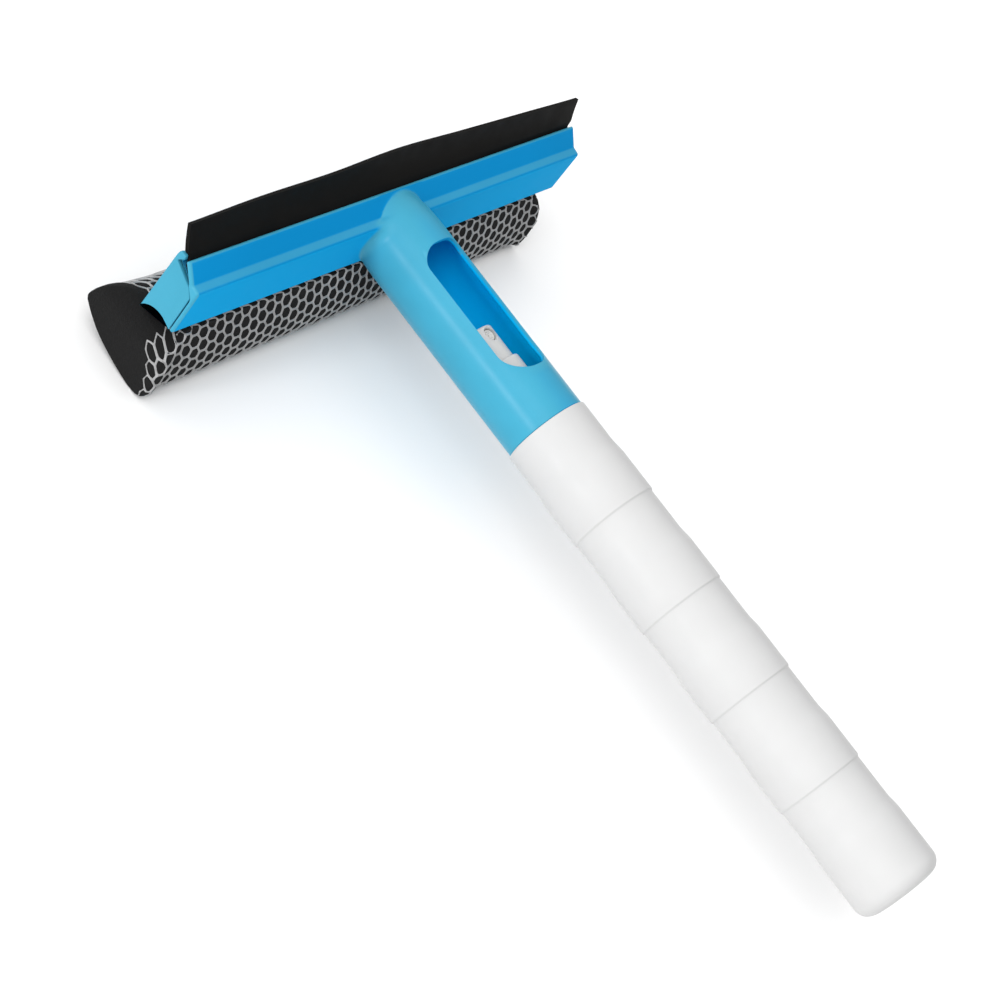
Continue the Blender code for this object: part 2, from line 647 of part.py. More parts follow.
def make_nozzle():
    """Round spray insert with its orifice, facing out of the finger window."""
    depth = 2.4
    profile = [
        (0.35, NOZZLE_FACE - 0.6), (0.9, NOZZLE_FACE - 0.1), (1.3, NOZZLE_FACE),
        (NOZZLE_RADIUS, NOZZLE_FACE), (NOZZLE_RADIUS, NOZZLE_FACE - depth), (0.35, NOZZLE_FACE - depth),
    ]
    nozzle = turned("nozzle_insert", profile, "pump_white", closed=True, steps=SMALL_SEGMENTS)
    nozzle.location = (0.0, NOZZLE_HEIGHT * MM, AXIS_Z * MM)
    nozzle.rotation_euler = (0.0, 0.0, 0.0)
    return nozzle


def make_stem():
    """Hollow stem from the actuator's socket to the piston."""
    foot = PISTON_TOP - PISTON_LENGTH + 0.8
    profile = [
        (0.6, -50.6), (STEM_RADIUS, -50.6), (STEM_RADIUS, PISTON_TOP + 0.4), (STEM_RADIUS, foot),
        (0.6, foot),
    ]
    return turned("pump_stem", profile, "pump_white", closed=True, steps=SMALL_SEGMENTS, centre=-50.6)


def make_piston():
    """Piston with two sealing lips."""
    low = PISTON_TOP - PISTON_LENGTH
    lip = CHAMBER_RADIUS - GAP
    profile = [
        (STEM_RADIUS + GAP, PISTON_TOP), (lip, PISTON_TOP + 0.2), (lip, PISTON_TOP - 0.8), (3.1, PISTON_TOP - 1.2),
        (3.1, low + 1.2), (lip, low + 0.8), (lip, low - 0.2), (STEM_RADIUS + GAP, low),
    ]
    return turned("piston", profile, "seal_grey", closed=True, steps=SMALL_SEGMENTS, centre=low)


def make_spring():
    """Return spring between the piston and the ledge above the ball seat."""
    top = PISTON_TOP - PISTON_LENGTH - 0.2 - GAP - SPRING_WIRE
    bottom = SPRING_FOOT + SPRING_WIRE
    count = SPRING_TURNS * 10
    curve = bpy.data.curves.new("pump_spring", "CURVE")
    curve.dimensions = "3D"
    curve.bevel_depth = SPRING_WIRE * MM
    curve.bevel_resolution = 2
    curve.use_fill_caps = True
    spline = curve.splines.new("POLY")
    spline.points.add(count)
    for i, point in enumerate(spline.points):
        angle = math.tau * SPRING_TURNS * i / count
        height = bottom + (top - bottom) * i / count
        across = SPRING_RADIUS * math.cos(angle)
        out = AXIS_Z + SPRING_RADIUS * math.sin(angle)
        point.co = (across * MM, height * MM, out * MM, 1.0)
    spring = bpy.data.objects.new("pump_spring", curve)
    PARTS.objects.link(spring)
    spring.parent = TOOL_ORIGIN
    curve.materials.append(MATERIALS["steel"])
    return spring


def make_ball():
    mesh = bmesh.new()
    bmesh.ops.create_uvsphere(mesh, u_segments=16, v_segments=10, radius=BALL_RADIUS)
    ball = object_from_bmesh("inlet_ball", mesh, "steel")
    ball.location = (0.0, BALL_HEIGHT * MM, AXIS_Z * MM)
    return ball


def make_dip_tube():
    profile = ring_profile(DIP_RADIUS - 0.6, DIP_RADIUS, DIP_END, -94.9)
    return turned("dip_tube", profile, "clear_tube", closed=True, steps=16, centre=-94.9)


make_head()
make_end_cap("end_cap_left", -1)
make_end_cap("end_cap_right", 1)
make_blade()
make_sponge()
make_net()
prism("sponge_strip", STRIP_OUTLINE, -STRIP_HALF, STRIP_HALF, "pump_white")
make_bottle()
make_gasket()
make_housing()
make_stem_guide()
make_stem_seal()
make_closure()
make_actuator()
make_nozzle()
make_stem()
make_piston()
make_spring()
make_ball()
make_dip_tube()
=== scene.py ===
"""Looks of the window cleaning squeegee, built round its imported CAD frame.

Shapes are drawn in tool millimetres: x along the crossbar, y from the bottle to the head and
z towards the side that the finger window faces, from a datum inside the crossbar's ridge.
Sections of the crossbar, the foam and the blade are (z, y) pairs, and turned shapes are
(radius, y) pairs about the handle's axis.
"""

import json
import math

import bmesh
import bpy
import numpy as np
from mathutils import Matrix, Vector
from mathutils.bvhtree import BVHTree


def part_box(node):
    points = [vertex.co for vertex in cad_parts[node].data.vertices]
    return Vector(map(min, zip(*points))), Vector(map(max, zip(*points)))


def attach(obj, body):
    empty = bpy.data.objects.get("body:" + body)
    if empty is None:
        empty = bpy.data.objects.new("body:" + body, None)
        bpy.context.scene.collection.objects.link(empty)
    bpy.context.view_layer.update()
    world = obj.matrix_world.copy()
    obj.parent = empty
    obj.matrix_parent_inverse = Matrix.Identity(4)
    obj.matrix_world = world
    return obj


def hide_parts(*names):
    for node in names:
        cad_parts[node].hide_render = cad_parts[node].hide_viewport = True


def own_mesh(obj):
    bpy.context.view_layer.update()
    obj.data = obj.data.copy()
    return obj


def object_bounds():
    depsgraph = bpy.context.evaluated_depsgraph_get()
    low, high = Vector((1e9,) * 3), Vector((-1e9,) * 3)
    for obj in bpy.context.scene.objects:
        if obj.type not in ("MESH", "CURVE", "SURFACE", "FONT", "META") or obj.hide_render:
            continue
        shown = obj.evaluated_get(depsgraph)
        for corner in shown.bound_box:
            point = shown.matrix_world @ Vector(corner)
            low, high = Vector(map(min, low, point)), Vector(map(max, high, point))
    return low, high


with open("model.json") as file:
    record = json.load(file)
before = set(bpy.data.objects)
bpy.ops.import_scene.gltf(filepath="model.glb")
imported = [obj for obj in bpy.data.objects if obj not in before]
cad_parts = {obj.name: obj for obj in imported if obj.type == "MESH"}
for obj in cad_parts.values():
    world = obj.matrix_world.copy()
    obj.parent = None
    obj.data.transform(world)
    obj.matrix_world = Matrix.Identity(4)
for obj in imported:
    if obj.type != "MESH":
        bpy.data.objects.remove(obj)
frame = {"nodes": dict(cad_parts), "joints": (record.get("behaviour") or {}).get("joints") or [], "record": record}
CAD_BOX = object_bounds()

MM = 0.001
AXIS_POINT = next(joint for joint in frame["joints"] if joint["name"] == "closure_turn")["pos_m"]

# Crossbar, mm: corners of its section with their rounding radii
BAR_HALF = 100.0
END_ROUND = 1.0
ARC_STEP = 12.0
END_BREAK = 0.3
BAR_CORNERS = (
    ((6.0, 8.0), 1.0), ((0.9, 2.75), 0.9), ((0.45, -0.42), 1.1), ((-17.8, -1.25), 0.6),
    ((-17.88, 0.05), 0.4), ((-3.59, 0.7), 1.2), ((0.42, 10.9), 0.9), ((-21.6, 11.2), 0.5),
    ((-21.6, 12.6), 0.5), ((3.2, 12.55), 1.5), ((4.5, 12.95), 0.7), ((5.45, 12.1), 0.6),
    ((5.0, 10.95), 0.45), ((4.1, 11.3), 0.4), ((3.4, 10.95), 0.4), ((1.93, 10.9), 0.5),
    ((-0.79, 4.0), 0.3), ((0.01, 4.0), 0.3), ((4.92, 9.05), 0.35),
)
BAR_ENVELOPE = (
    ((6.0, 8.0), 1.0), ((0.9, 2.75), 0.9), ((0.45, -0.42), 1.1), ((-17.8, -1.25), 0.6),
    ((-21.6, 12.6), 0.5), ((5.5, 12.8), 0.7),
)
CAP_SEAT = ((-31.0, -0.45), (-3.2, 0.81), (6.25, 10.55), (12.0, 20.0), (-34.0, 20.0))
CAP_INNER = 98.2

# Tube with its nose and finger window, mm
AXIS_Z = -7.45
TUBE_RADIUS = 14.4
BORE_RADIUS = 12.9
TUBE_END = -83.1
BORE_TOP = -3.0
NOSE = (
    (0.0, 9.0), (8.0, 8.95), (11.0, 8.75), (12.3, 8.25), (12.85, 7.4), (13.2, 5.5), (13.55, 3.0),
    (13.9, 0.3), (14.2, -3.0), (14.35, -6.0), (14.4, -9.0),
)
FILLET = 4.5
FILLET_TOP = 0.6
CHANNEL_SPACE = (
    (-34.0, -8.5), (-23.0, -4.2), (-17.3, -2.2), (-17.3, -0.53), (-2.61, 0.14), (9.68, 12.79),
    (-34.0, 20.0),
)
WINDOW_HALF = 9.8
WINDOW_TOP = -14.2
WINDOW_BOTTOM = -65.8
WINDOW_CORNER = 6.8
WINDOW_FOOT_CORNER = 9.0
WINDOW_BREAK = 0.28

# End panels, mm
PANEL_THICK = 1.5
SEAT_CENTRE = (-25.0, 5.5)
SEAT_RADIUS = 7.9
PANEL_CORNERS = (
    ((-18.2, 0.45), 0.25), ((-3.4, 1.12), 0.4), ((-1.0, 3.35), 0.3), ((2.35, 11.8), 0.4),
    ((3.5, 10.95), 0.4), ((4.6, 9.95), 0.4), ((5.95, 10.3), 0.5), ((5.8, 12.7), 0.9),
    ((3.9, 13.0), 1.2),
)

# Blade, mm and degrees: its cut edge wavers along the bar
BLADE_HALF = 99.2
BLADE_ROOT_END = 98.3
BLADE_ROOT = ((0.2, 5.0), (1.65, 7.08), (2.85, 8.6))
BLADE_ROOT_HALVES = (0.2, 0.7, 0.85)
BLADE_MOUTH = (4.65, 9.6)
BLADE_LENGTHS = (11.75, 12.6, 12.45, 13.35, 12.5, 11.8, 11.15)
BLADE_ANGLES = (33.0, 33.2, 33.4, 33.5, 30.5, 26.5, 22.0)
BLADE_CURL = 15.0

# Foam and net, mm
NECK_TOP = ((-10.0, 9.4), (-16.0, 9.6), (-22.0, 10.1))
FOAM_BODY = (
    (-22.9, 12.0), (-23.2, 17.0), (-24.2, 20.8), (-26.6, 24.0), (-30.0, 26.3), (-33.8, 27.8),
    (-37.0, 28.3), (-39.2, 25.8), (-41.0, 22.8), (-42.9, 18.9), (-44.4, 14.2), (-45.5, 9.2),
    (-46.3, 4.0), (-46.7, -0.6), (-46.2, -4.4), (-44.6, -6.4), (-41.0, -6.9), (-36.0, -6.6),
    (-31.0, -5.7), (-26.5, -4.3), (-22.6, -2.9), (-19.4, -1.4),
)
NECK_BOTTOM = ((-19.2, 1.8), (-14.0, 2.2), (-10.0, 2.5))
FOAM_ENDS = (-100.3, 98.2)
FOAM_PINCH = 6.5
PINCH_FROM = -32.0
PINCH_TO = -20.0
NET_INSET = 1.1
NET_SQUEEZE = 1.0
NET_EDGE = 95.0
CELL_A = (-4.75, 2.7)
CELL_B = (3.05, 2.7)
CELL_START = (0.6, 0.9)
CELL_WANDER = 0.10
KNOT_HALF = 0.56
STRAND_HALF = 0.32
CREST_SHARE = 0.55
RIM_HEIGHT = 0.05
JOINT_HEIGHT = 0.22
CREST_HEIGHT = 0.45

# Bottle, mm
BOTTLE_BOTTOM = -268.0
FIRST_STEP = -101.5
BAND_PITCH = 17.73
BAND_COUNT = 8
BAND_NARROW = 15.0
BAND_WIDE = 15.5
STEP_HALF = 0.45
RAMP_HALF = 3.0

TO_WORLD = Matrix.Translation((
    0.0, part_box("bottle")[0].y - BOTTLE_BOTTOM * MM, AXIS_POINT[2] - AXIS_Z * MM,
)) @ Matrix.Scale(MM, 4)


# ---------------------------------------------------------------- materials


def new_material(name, colour, roughness, metallic=0.0, specular=0.5):
    """A Principled material with its node tree ready to be built on."""
    material = bpy.data.materials.new(name)
    material.use_nodes = True
    tree = material.node_tree
    shader = tree.nodes["Principled BSDF"]
    shader.inputs["Base Color"].default_value = (*colour, 1.0)
    shader.inputs["Roughness"].default_value = roughness
    shader.inputs["Metallic"].default_value = metallic
    shader.inputs["Specular IOR Level"].default_value = specular
    return material, tree, shader


def texture(tree, kind, size, detail=2.0, **inputs):
    """A procedural texture in the piece's own space, with features of about size millimetres."""
    place = tree.nodes.new("ShaderNodeTexCoord")
    node = tree.nodes.new(kind)
    node.inputs["Scale"].default_value = 1.0 / (size * MM)
    if "Detail" in node.inputs:
        node.inputs["Detail"].default_value = detail
    for socket, value in inputs.items():
        node.inputs[socket].default_value = value
    tree.links.new(place.outputs["Object"], node.inputs["Vector"])
    return node


def remap(tree, source, low, high, out_low, out_high):
    """Linear map of a socket's value, clamped."""
    node = tree.nodes.new("ShaderNodeMapRange")
    for socket, value in zip(("From Min", "From Max", "To Min", "To Max"), (low, high, out_low, out_high)):
        node.inputs[socket].default_value = value
    tree.links.new(source, node.inputs["Value"])
    return node.outputs["Result"]


def blend_colours(tree, factor, first, second):
    """Mix two colours, each a triple or a socket, by a factor socket."""
    node = tree.nodes.new("ShaderNodeMix")
    node.data_type = "RGBA"
    tree.links.new(factor, node.inputs["Factor"])
    for socket, colour in (("A", first), ("B", second)):
        target = next(i for i in node.inputs if i.name == socket and i.type == "RGBA")
        if isinstance(colour, bpy.types.NodeSocket):
            tree.links.new(colour, target)
        else:
            target.default_value = (*colour, 1.0)
    return next(o for o in node.outputs if o.type == "RGBA")


def bump(tree, shader, heights, distance, strength=1.0, below=None):
    """A bump layer of the given depth in millimetres, on top of another layer if given."""
    node = tree.nodes.new("ShaderNodeBump")
    node.inputs["Distance"].default_value = distance * MM
    node.inputs["Strength"].default_value = strength
    tree.links.new(heights, node.inputs["Height"])
    if below:
        tree.links.new(below, node.inputs["Normal"])
    tree.links.new(node.outputs["Normal"], shader.inputs["Normal"])
    return node.outputs["Normal"]


def shaded(colour, share):
    return tuple(min(1.0, channel * share) for channel in colour)


def cylinder_mask(tree, radius, top):
    """A socket that is 1 within a radius of the handle's axis and below a height, in tool millimetres."""
    soft = 0.3 * MM
    limit, ceiling = radius * MM, TO_WORLD.translation.y + top * MM
    place = tree.nodes.new("ShaderNodeTexCoord")
    height = tree.nodes.new("ShaderNodeSeparateXYZ")
    axis = tree.nodes.new("ShaderNodeVectorMath")
    axis.operation = "MULTIPLY_ADD"
    axis.inputs[1].default_value = (1.0, 0.0, 1.0)
    axis.inputs[2].default_value = (0.0, 0.0, -AXIS_POINT[2])
    reach = tree.nodes.new("ShaderNodeVectorMath")
    reach.operation = "LENGTH"
    tree.links.new(place.outputs["Object"], height.inputs[0])
    tree.links.new(place.outputs["Object"], axis.inputs[0])
    tree.links.new(axis.outputs["Vector"], reach.inputs[0])
    near = remap(tree, reach.outputs["Value"], limit - soft, limit + soft, 1.0, 0.0)
    below = remap(tree, height.outputs["Y"], ceiling - soft, ceiling + soft, 1.0, 0.0)
    return product(tree, near, below)


def product(tree, first, second):
    node = tree.nodes.new("ShaderNodeMath")
    node.operation = "MULTIPLY"
    tree.links.new(first, node.inputs[0])
    tree.links.new(second, node.inputs[1])
    return node.outputs["Value"]


def moulded_plastic(name, colour, roughness, specular=0.5, worn=None, haze=0.06, subsurface=0.0,
                    facing_light_shade=None, smears=0.06):
    """Moulded plastic: slight flow mottling, fine texture from the mould, paler worn edges.

    Where facing colours are given, faces towards the handle are matt and get painted shade and light by the way
    they face:
    the first, darker colour for sloping faces and the second, lighter one for square ones. The tube's bore then
    gets a lighter blue of its own, painted light inside the tube.
    """
    material, tree, shader = new_material(name, colour, roughness, specular=specular)
    if subsurface:
        shader.inputs["Subsurface Weight"].default_value = subsurface
        shader.inputs["Subsurface Scale"].default_value = 1.5 * MM
        shader.inputs["Subsurface Radius"].default_value = (1.0, 0.95, 0.9)
    flow = texture(tree, "ShaderNodeTexNoise", 16.0, detail=4.0, Roughness=0.6)
    share = remap(tree, flow.outputs["Fac"], 0.3, 0.7, 0.0, 1.0)
    base = blend_colours(tree, share, shaded(colour, 1.0 - haze), shaded(colour, 1.0 + haze))
    smear = texture(tree, "ShaderNodeTexNoise", 7.0, detail=5.0, Roughness=0.65)
    rough = remap(tree, smear.outputs["Fac"], 0.3, 0.7, roughness - smears, roughness + smears)
    # Painted shade and light: faces towards the handle are coloured by the way they face, darker where they slope
    # and lighter where they are square, and are made rougher too.
    if facing_light_shade:
        facing = tree.nodes.new("ShaderNodeTexCoord")
        split = tree.nodes.new("ShaderNodeSeparateXYZ")
        tree.links.new(facing.outputs["Normal"], split.inputs[0])
        facing_shade_blue = blend_colours(tree, remap(tree, split.outputs["Y"], -0.96, -0.75, 1.0, 0.0), *facing_light_shade)
        sideways = tree.nodes.new("ShaderNodeMath")
        sideways.operation = "ABSOLUTE"
        tree.links.new(split.outputs["X"], sideways.inputs[0])
        along = product(tree, remap(tree, split.outputs["Y"], -0.62, 0.12, 1.0, 0.0),
                        remap(tree, sideways.outputs["Value"], 0.15, 0.45, 1.0, 0.0))
        base = blend_colours(tree, along, base, facing_shade_blue)
        etched = tree.nodes.new("ShaderNodeMath")
        etched.operation = "MULTIPLY_ADD"
        etched.inputs[1].default_value = ETCH_ROUGHNESS
        tree.links.new(along, etched.inputs[0])
        tree.links.new(rough, etched.inputs[2])
        rough = etched.outputs["Value"]
        # Painted light: the bore is coloured a lighter blue, standing in for light inside the tube.
        bore = cylinder_mask(tree, 0.5 * (TUBE_RADIUS + BORE_RADIUS), BORE_TOP + 0.6)
        base = blend_colours(tree, bore, base, BORE_PAINTED_LIGHT_BLUE)
    edges = tree.nodes.new("ShaderNodeNewGeometry")
    rub = texture(tree, "ShaderNodeTexNoise", 2.2, detail=3.0)
    mask = product(tree, remap(tree, edges.outputs["Pointiness"], 0.52, 0.60, 0.0, 0.55),
                   remap(tree, rub.outputs["Fac"], 0.35, 0.6, 0.2, 1.0))
    final = blend_colours(tree, mask, base, worn or shaded(colour, 1.35))
    tree.links.new(final, shader.inputs["Base Color"])
    tree.links.new(rough, shader.inputs["Roughness"])
    wave = bump(tree, shader, flow.outputs["Fac"], 0.10, 0.5)
    grain = texture(tree, "ShaderNodeTexNoise", 0.35, detail=2.0)
    bump(tree, shader, grain.outputs["Fac"], 0.012, 0.7, below=wave)
    return material


def rubber_material(name):
    """Black rubber with a faint bloom, fine dust and shallow mould texture."""
    colour = (0.0050, 0.0046, 0.0042)
    material, tree, shader = new_material(name, colour, 0.62, specular=0.08)
    bloom = texture(tree, "ShaderNodeTexNoise", 9.0, detail=4.0)
    dust = texture(tree, "ShaderNodeTexVoronoi", 0.7)
    share = remap(tree, bloom.outputs["Fac"], 0.35, 0.7, 0.0, 1.0)
    base = blend_colours(tree, share, shaded(colour, 0.85), shaded(colour, 1.3))
    specks = remap(tree, dust.outputs["Distance"], 0.0, 0.14, 0.35, 0.0)
    tree.links.new(blend_colours(tree, specks, base, (0.018, 0.017, 0.016)), shader.inputs["Base Color"])
    tree.links.new(remap(tree, bloom.outputs["Fac"], 0.3, 0.7, 0.55, 0.72), shader.inputs["Roughness"])
    grain = texture(tree, "ShaderNodeTexNoise", 0.3, detail=3.0)
    bump(tree, shader, grain.outputs["Fac"], 0.02, 0.6)
    return material


def foam_material(name):
    """Fine open-cell foam: painted shade darkens the pores against slightly paler cell walls."""
    material, tree, shader = new_material(name, (0.006, 0.006, 0.0062), 0.95, specular=0.05)
    shader.inputs["Sheen Weight"].default_value = 0.03
    shader.inputs["Sheen Roughness"].default_value = 0.6
    pores = texture(tree, "ShaderNodeTexVoronoi", 0.55)
    clumps = texture(tree, "ShaderNodeTexNoise", 1.6, detail=4.0, Roughness=0.7)
    # Painted shade: the pores are darkened against paler cell walls.
    pore_shade = remap(tree, pores.outputs["Distance"], 0.1, 0.6, 0.0, 1.0)
    base = blend_colours(tree, pore_shade, (0.0025, 0.0025, 0.0026), (0.011, 0.011, 0.0112))
    patch = remap(tree, clumps.outputs["Fac"], 0.3, 0.75, 0.0, 0.6)
    tree.links.new(blend_colours(tree, patch, base, (0.009, 0.009, 0.0092)), shader.inputs["Base Color"])
    tree.links.new(remap(tree, clumps.outputs["Fac"], 0.3, 0.7, 0.88, 1.0), shader.inputs["Roughness"])
    coarse = bump(tree, shader, clumps.outputs["Fac"], 0.35, 0.7)
    bump(tree, shader, pores.outputs["Distance"], 0.25, 0.8, below=coarse)
    return material


def net_material(name):
    """Knitted polyester: fine filaments along the strands and a soft sheen."""
    colour = (0.38, 0.38, 0.383)
    material, tree, shader = new_material(name, colour, 0.55, specular=0.4)
    shader.inputs["Sheen Weight"].default_value = 0.25
    shader.inputs["Sheen Roughness"].default_value = 0.4
    fibres = texture(tree, "ShaderNodeTexNoise", 0.22, detail=3.0, Distortion=0.6)
    lots = texture(tree, "ShaderNodeTexNoise", 12.0, detail=2.0)
    share = remap(tree, fibres.outputs["Fac"], 0.3, 0.7, 0.0, 1.0)
    base = blend_colours(tree, share, shaded(colour, 0.78), shaded(colour, 1.22))
    grime = remap(tree, lots.outputs["Fac"], 0.45, 0.75, 0.0, 0.3)
    tree.links.new(blend_colours(tree, grime, base, shaded(colour, 0.7)), shader.inputs["Base Color"])
    tree.links.new(remap(tree, fibres.outputs["Fac"], 0.3, 0.7, 0.45, 0.7), shader.inputs["Roughness"])
    bump(tree, shader, fibres.outputs["Fac"], 0.08, 0.8)
    return material


def steel_material(name):
    """Drawn stainless wire with fine lines."""
    colour = (0.56, 0.56, 0.55)
    material, tree, shader = new_material(name, colour, 0.25, metallic=1.0)
    lines = texture(tree, "ShaderNodeTexNoise", 0.2, detail=3.0, Distortion=1.5)
    share = remap(tree, lines.outputs["Fac"], 0.3, 0.7, 0.0, 1.0)
    tinted = blend_colours(tree, share, shaded(colour, 0.85), shaded(colour, 1.1))
    tree.links.new(tinted, shader.inputs["Base Color"])
    tree.links.new(remap(tree, lines.outputs["Fac"], 0.3, 0.7, 0.18, 0.34), shader.inputs["Roughness"])
    bump(tree, shader, lines.outputs["Fac"], 0.01, 0.5)
    return material


HEAD_BLUE = (0.048, 0.325, 0.475)
# Painted shade and light by facing, for faces towards the handle: a darker blue for sloping faces and a lighter
# one for square faces.
FACING_LIGHT_SHADE_BLUES = ((0.0, 0.25, 0.570), (0.0, 0.365, 0.75))
# Painted light: a lighter blue for the inside of the tube's bore.
BORE_PAINTED_LIGHT_BLUE = (0.0, 0.42, 0.80)
WORN_BLUE = (0.08, 0.38, 0.54)
ETCH_ROUGHNESS = 0.62
MATERIALS = {
    "head_blue": moulded_plastic("blue_polypropylene", HEAD_BLUE, 0.30, specular=0.12, worn=WORN_BLUE,
                                 haze=0.03, facing_light_shade=FACING_LIGHT_SHADE_BLUES, smears=0.025),
    "cap_blue": moulded_plastic("blue_panel_plastic", (0.044, 0.302, 0.438), 0.40, specular=0.2,
                                worn=WORN_BLUE, haze=0.03),
    "rubber": rubber_material("black_rubber"),
    "foam": foam_material("black_foam"),
    "net": net_material("grey_net_yarn"),
    "bottle_white": moulded_plastic("white_polyethylene", (0.555, 0.555, 0.555), 0.45, specular=0.25,
                                    worn=(0.52, 0.52, 0.515), haze=0.012, subsurface=0.15),
    "pump_white": moulded_plastic("pump_polypropylene", (0.55, 0.55, 0.54), 0.40,
                                  worn=(0.51, 0.51, 0.50), haze=0.02, subsurface=0.1),
    "clear_tube": moulded_plastic("natural_polyethylene", (0.74, 0.76, 0.76), 0.28, haze=0.02,
                                  subsurface=0.3),
    "seal_grey": moulded_plastic("grey_seal", (0.24, 0.24, 0.24), 0.62, specular=0.3, haze=0.05),
    "steel": steel_material("drawn_steel"),
}


# ---------------------------------------------------------------- mesh helpers


def piece(name, mesh, slot, body, replaced, sharp=38.0):
    """Link a bmesh in tool millimetres as a visible piece that stands for CAD nodes."""
    mesh.transform(TO_WORLD)
    bmesh.ops.recalc_face_normals(mesh, faces=mesh.faces)
    data = bpy.data.meshes.new(name)
    mesh.to_mesh(data)
    mesh.free()
    data.shade_smooth()
    data.set_sharp_from_angle(angle=math.radians(sharp))
    data.materials.append(MATERIALS[slot])
    thing = bpy.data.objects.new(name, data)
    bpy.context.scene.collection.objects.link(thing)
    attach(thing, body)
    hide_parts(*replaced)
    return thing


def rounded(corners):
    """Closed section outline through ((z, y), radius) corners, each rounded by an arc."""
    points = []
    for i, (corner, radius) in enumerate(corners):
        here = Vector(corner)
        back = Vector(corners[i - 1][0]) - here
        ahead = Vector(corners[(i + 1) % len(corners)][0]) - here
        half = 0.5 * back.angle(ahead)
        reach = min(radius / math.tan(half), 0.49 * back.length, 0.49 * ahead.length)
        start = here + back.normalized() * reach
        end = here + ahead.normalized() * reach
        centre = here + (back.normalized() + ahead.normalized()).normalized() * (reach / math.cos(half))
        first, last = start - centre, end - centre
        turn = math.atan2(first.x * last.y - first.y * last.x, first.dot(last))
        count = max(2, math.ceil(abs(math.degrees(turn)) / ARC_STEP))
        for k in range(count + 1):
            points.append(centre + Matrix.Rotation(turn * k / count, 2) @ first)
    return points


def divided(outline, longest):
    """The closed outline with every side cut to at most a length."""
    points = []
    for i, point in enumerate(outline):
        ahead = outline[(i + 1) % len(outline)]
        count = max(1, math.ceil((ahead - point).length / longest))
        points += [point.lerp(ahead, k / count) for k in range(count)]
    return points


def inset(outline, distance, elsewhere=None):
    """Move a closed outline inwards, with mitred corners.

    Where elsewhere is given, the sides that don't face down and forwards move by that instead.
    """
    area = sum(a.x * b.y - a.y * b.x for a, b in zip(outline, outline[1:] + outline[:1]))
    side = 1.0 if area > 0.0 else -1.0
    moved = []
    for i, here in enumerate(outline):
        before = (here - outline[i - 1]).normalized()
        after = (outline[(i + 1) % len(outline)] - here).normalized()
        normal = Vector((-before.y - after.y, before.x + after.x)).normalized() * side
        lean = max(0.4, normal.dot(Vector((-before.y, before.x)) * side))
        reach = distance
        if elsewhere is not None:
            front = min(1.0, max(0.0, -normal.dot(Vector((0.6, -0.8))) * 2.0))
            reach = elsewhere + (distance - elsewhere) * front
        moved.append(here + normal * (reach / lean))
    return moved


def skin(rings):
    """Loft equal closed rings of (x, y, z) points, and close both ends."""
    mesh = bmesh.new()
    loops = [[mesh.verts.new(point) for point in ring] for ring in rings]
    count = len(loops[0])
    for first, second in zip(loops, loops[1:]):
        for i in range(count):
            j = (i + 1) % count
            mesh.faces.new((first[i], first[j], second[j], second[i]))
    mesh.faces.new(loops[0])
    mesh.faces.new(reversed(loops[-1]))
    return mesh


def at_x(outline, x):
    return [(x, y, z) for z, y in outline]


def end_round(radius, along):
    """Inset of a quarter round at a distance in from an end."""
    share = max(0.0, 1.0 - along / radius)
    return radius * (1.0 - math.sqrt(1.0 - share * share))


def rounded_bar(outline, low, high, radius, between=(), broken=None):
    """Extrude a section along X with round end edges. Where broken is given, it's the rear edges' radius."""
    starts, ends = [], []
    for angle in (0.0, 20.0, 40.0, 60.0, 90.0):
        along = radius * (1.0 - math.cos(math.radians(angle)))
        rear = end_round(broken, along) if broken else None
        ring = inset(outline, end_round(radius, along), rear)
        starts.append(at_x(ring, low + along))
        ends.append(at_x(ring, high - along))
    return skin(starts + [at_x(outline, x) for x in between] + ends[::-1])


def turned(profile, segments, ripple=None):
    """Turn a closed (radius, y) profile about the handle's axis. A ripple function may change the radii."""
    mesh = bmesh.new()
    rings = []
    for radius, y in profile:
        if radius < 1e-6:
            rings.append([mesh.verts.new((0.0, y, AXIS_Z))])
            continue
        ring = []
        for k in range(segments):
            turn = math.tau * k / segments
            reach = ripple(radius, y, turn) if ripple else radius
            ring.append(mesh.verts.new((reach * math.sin(turn), y, AXIS_Z + reach * math.cos(turn))))
        rings.append(ring)
    for first, second in zip(rings, rings[1:] + rings[:1]):
        if len(first) == 1 and len(second) == 1:
            continue
        for k in range(segments):
            j = (k + 1) % segments
            near = [first[k % len(first)], first[j % len(first)]]
            far = [second[j % len(second)], second[k % len(second)]]
            mesh.faces.new(list(dict.fromkeys(near + far)))
    bmesh.ops.recalc_face_normals(mesh, faces=mesh.faces)
    return mesh


def arc(centre, radius, start, end, count):
    """Points of an arc, angles in degrees from the first coordinate towards the second."""
    turns = [math.radians(start + (end - start) * i / count) for i in range(count + 1)]
    return [(centre[0] + radius * math.cos(t), centre[1] + radius * math.sin(t)) for t in turns]


def combine(mesh, other, operation):
    """Exact Boolean of two closed bmeshes. Both are freed, and the result is returned."""
    things = []
    for part in (mesh, other):
        bmesh.ops.recalc_face_normals(part, faces=part.faces)
        data = bpy.data.meshes.new("working")
        part.to_mesh(data)
        part.free()
        thing = bpy.data.objects.new("working", data)
        bpy.context.scene.collection.objects.link(thing)
        things.append(thing)
    step = things[0].modifiers.new("step", "BOOLEAN")
    step.operation = operation
    step.object = things[1]
    step.solver = "EXACT"
    bpy.context.view_layer.update()
    result = bmesh.new()
    result.from_object(things[0], bpy.context.evaluated_depsgraph_get())
    for thing in things:
        data = thing.data
        bpy.data.objects.remove(thing, do_unlink=True)
        bpy.data.meshes.remove(data)
    return result


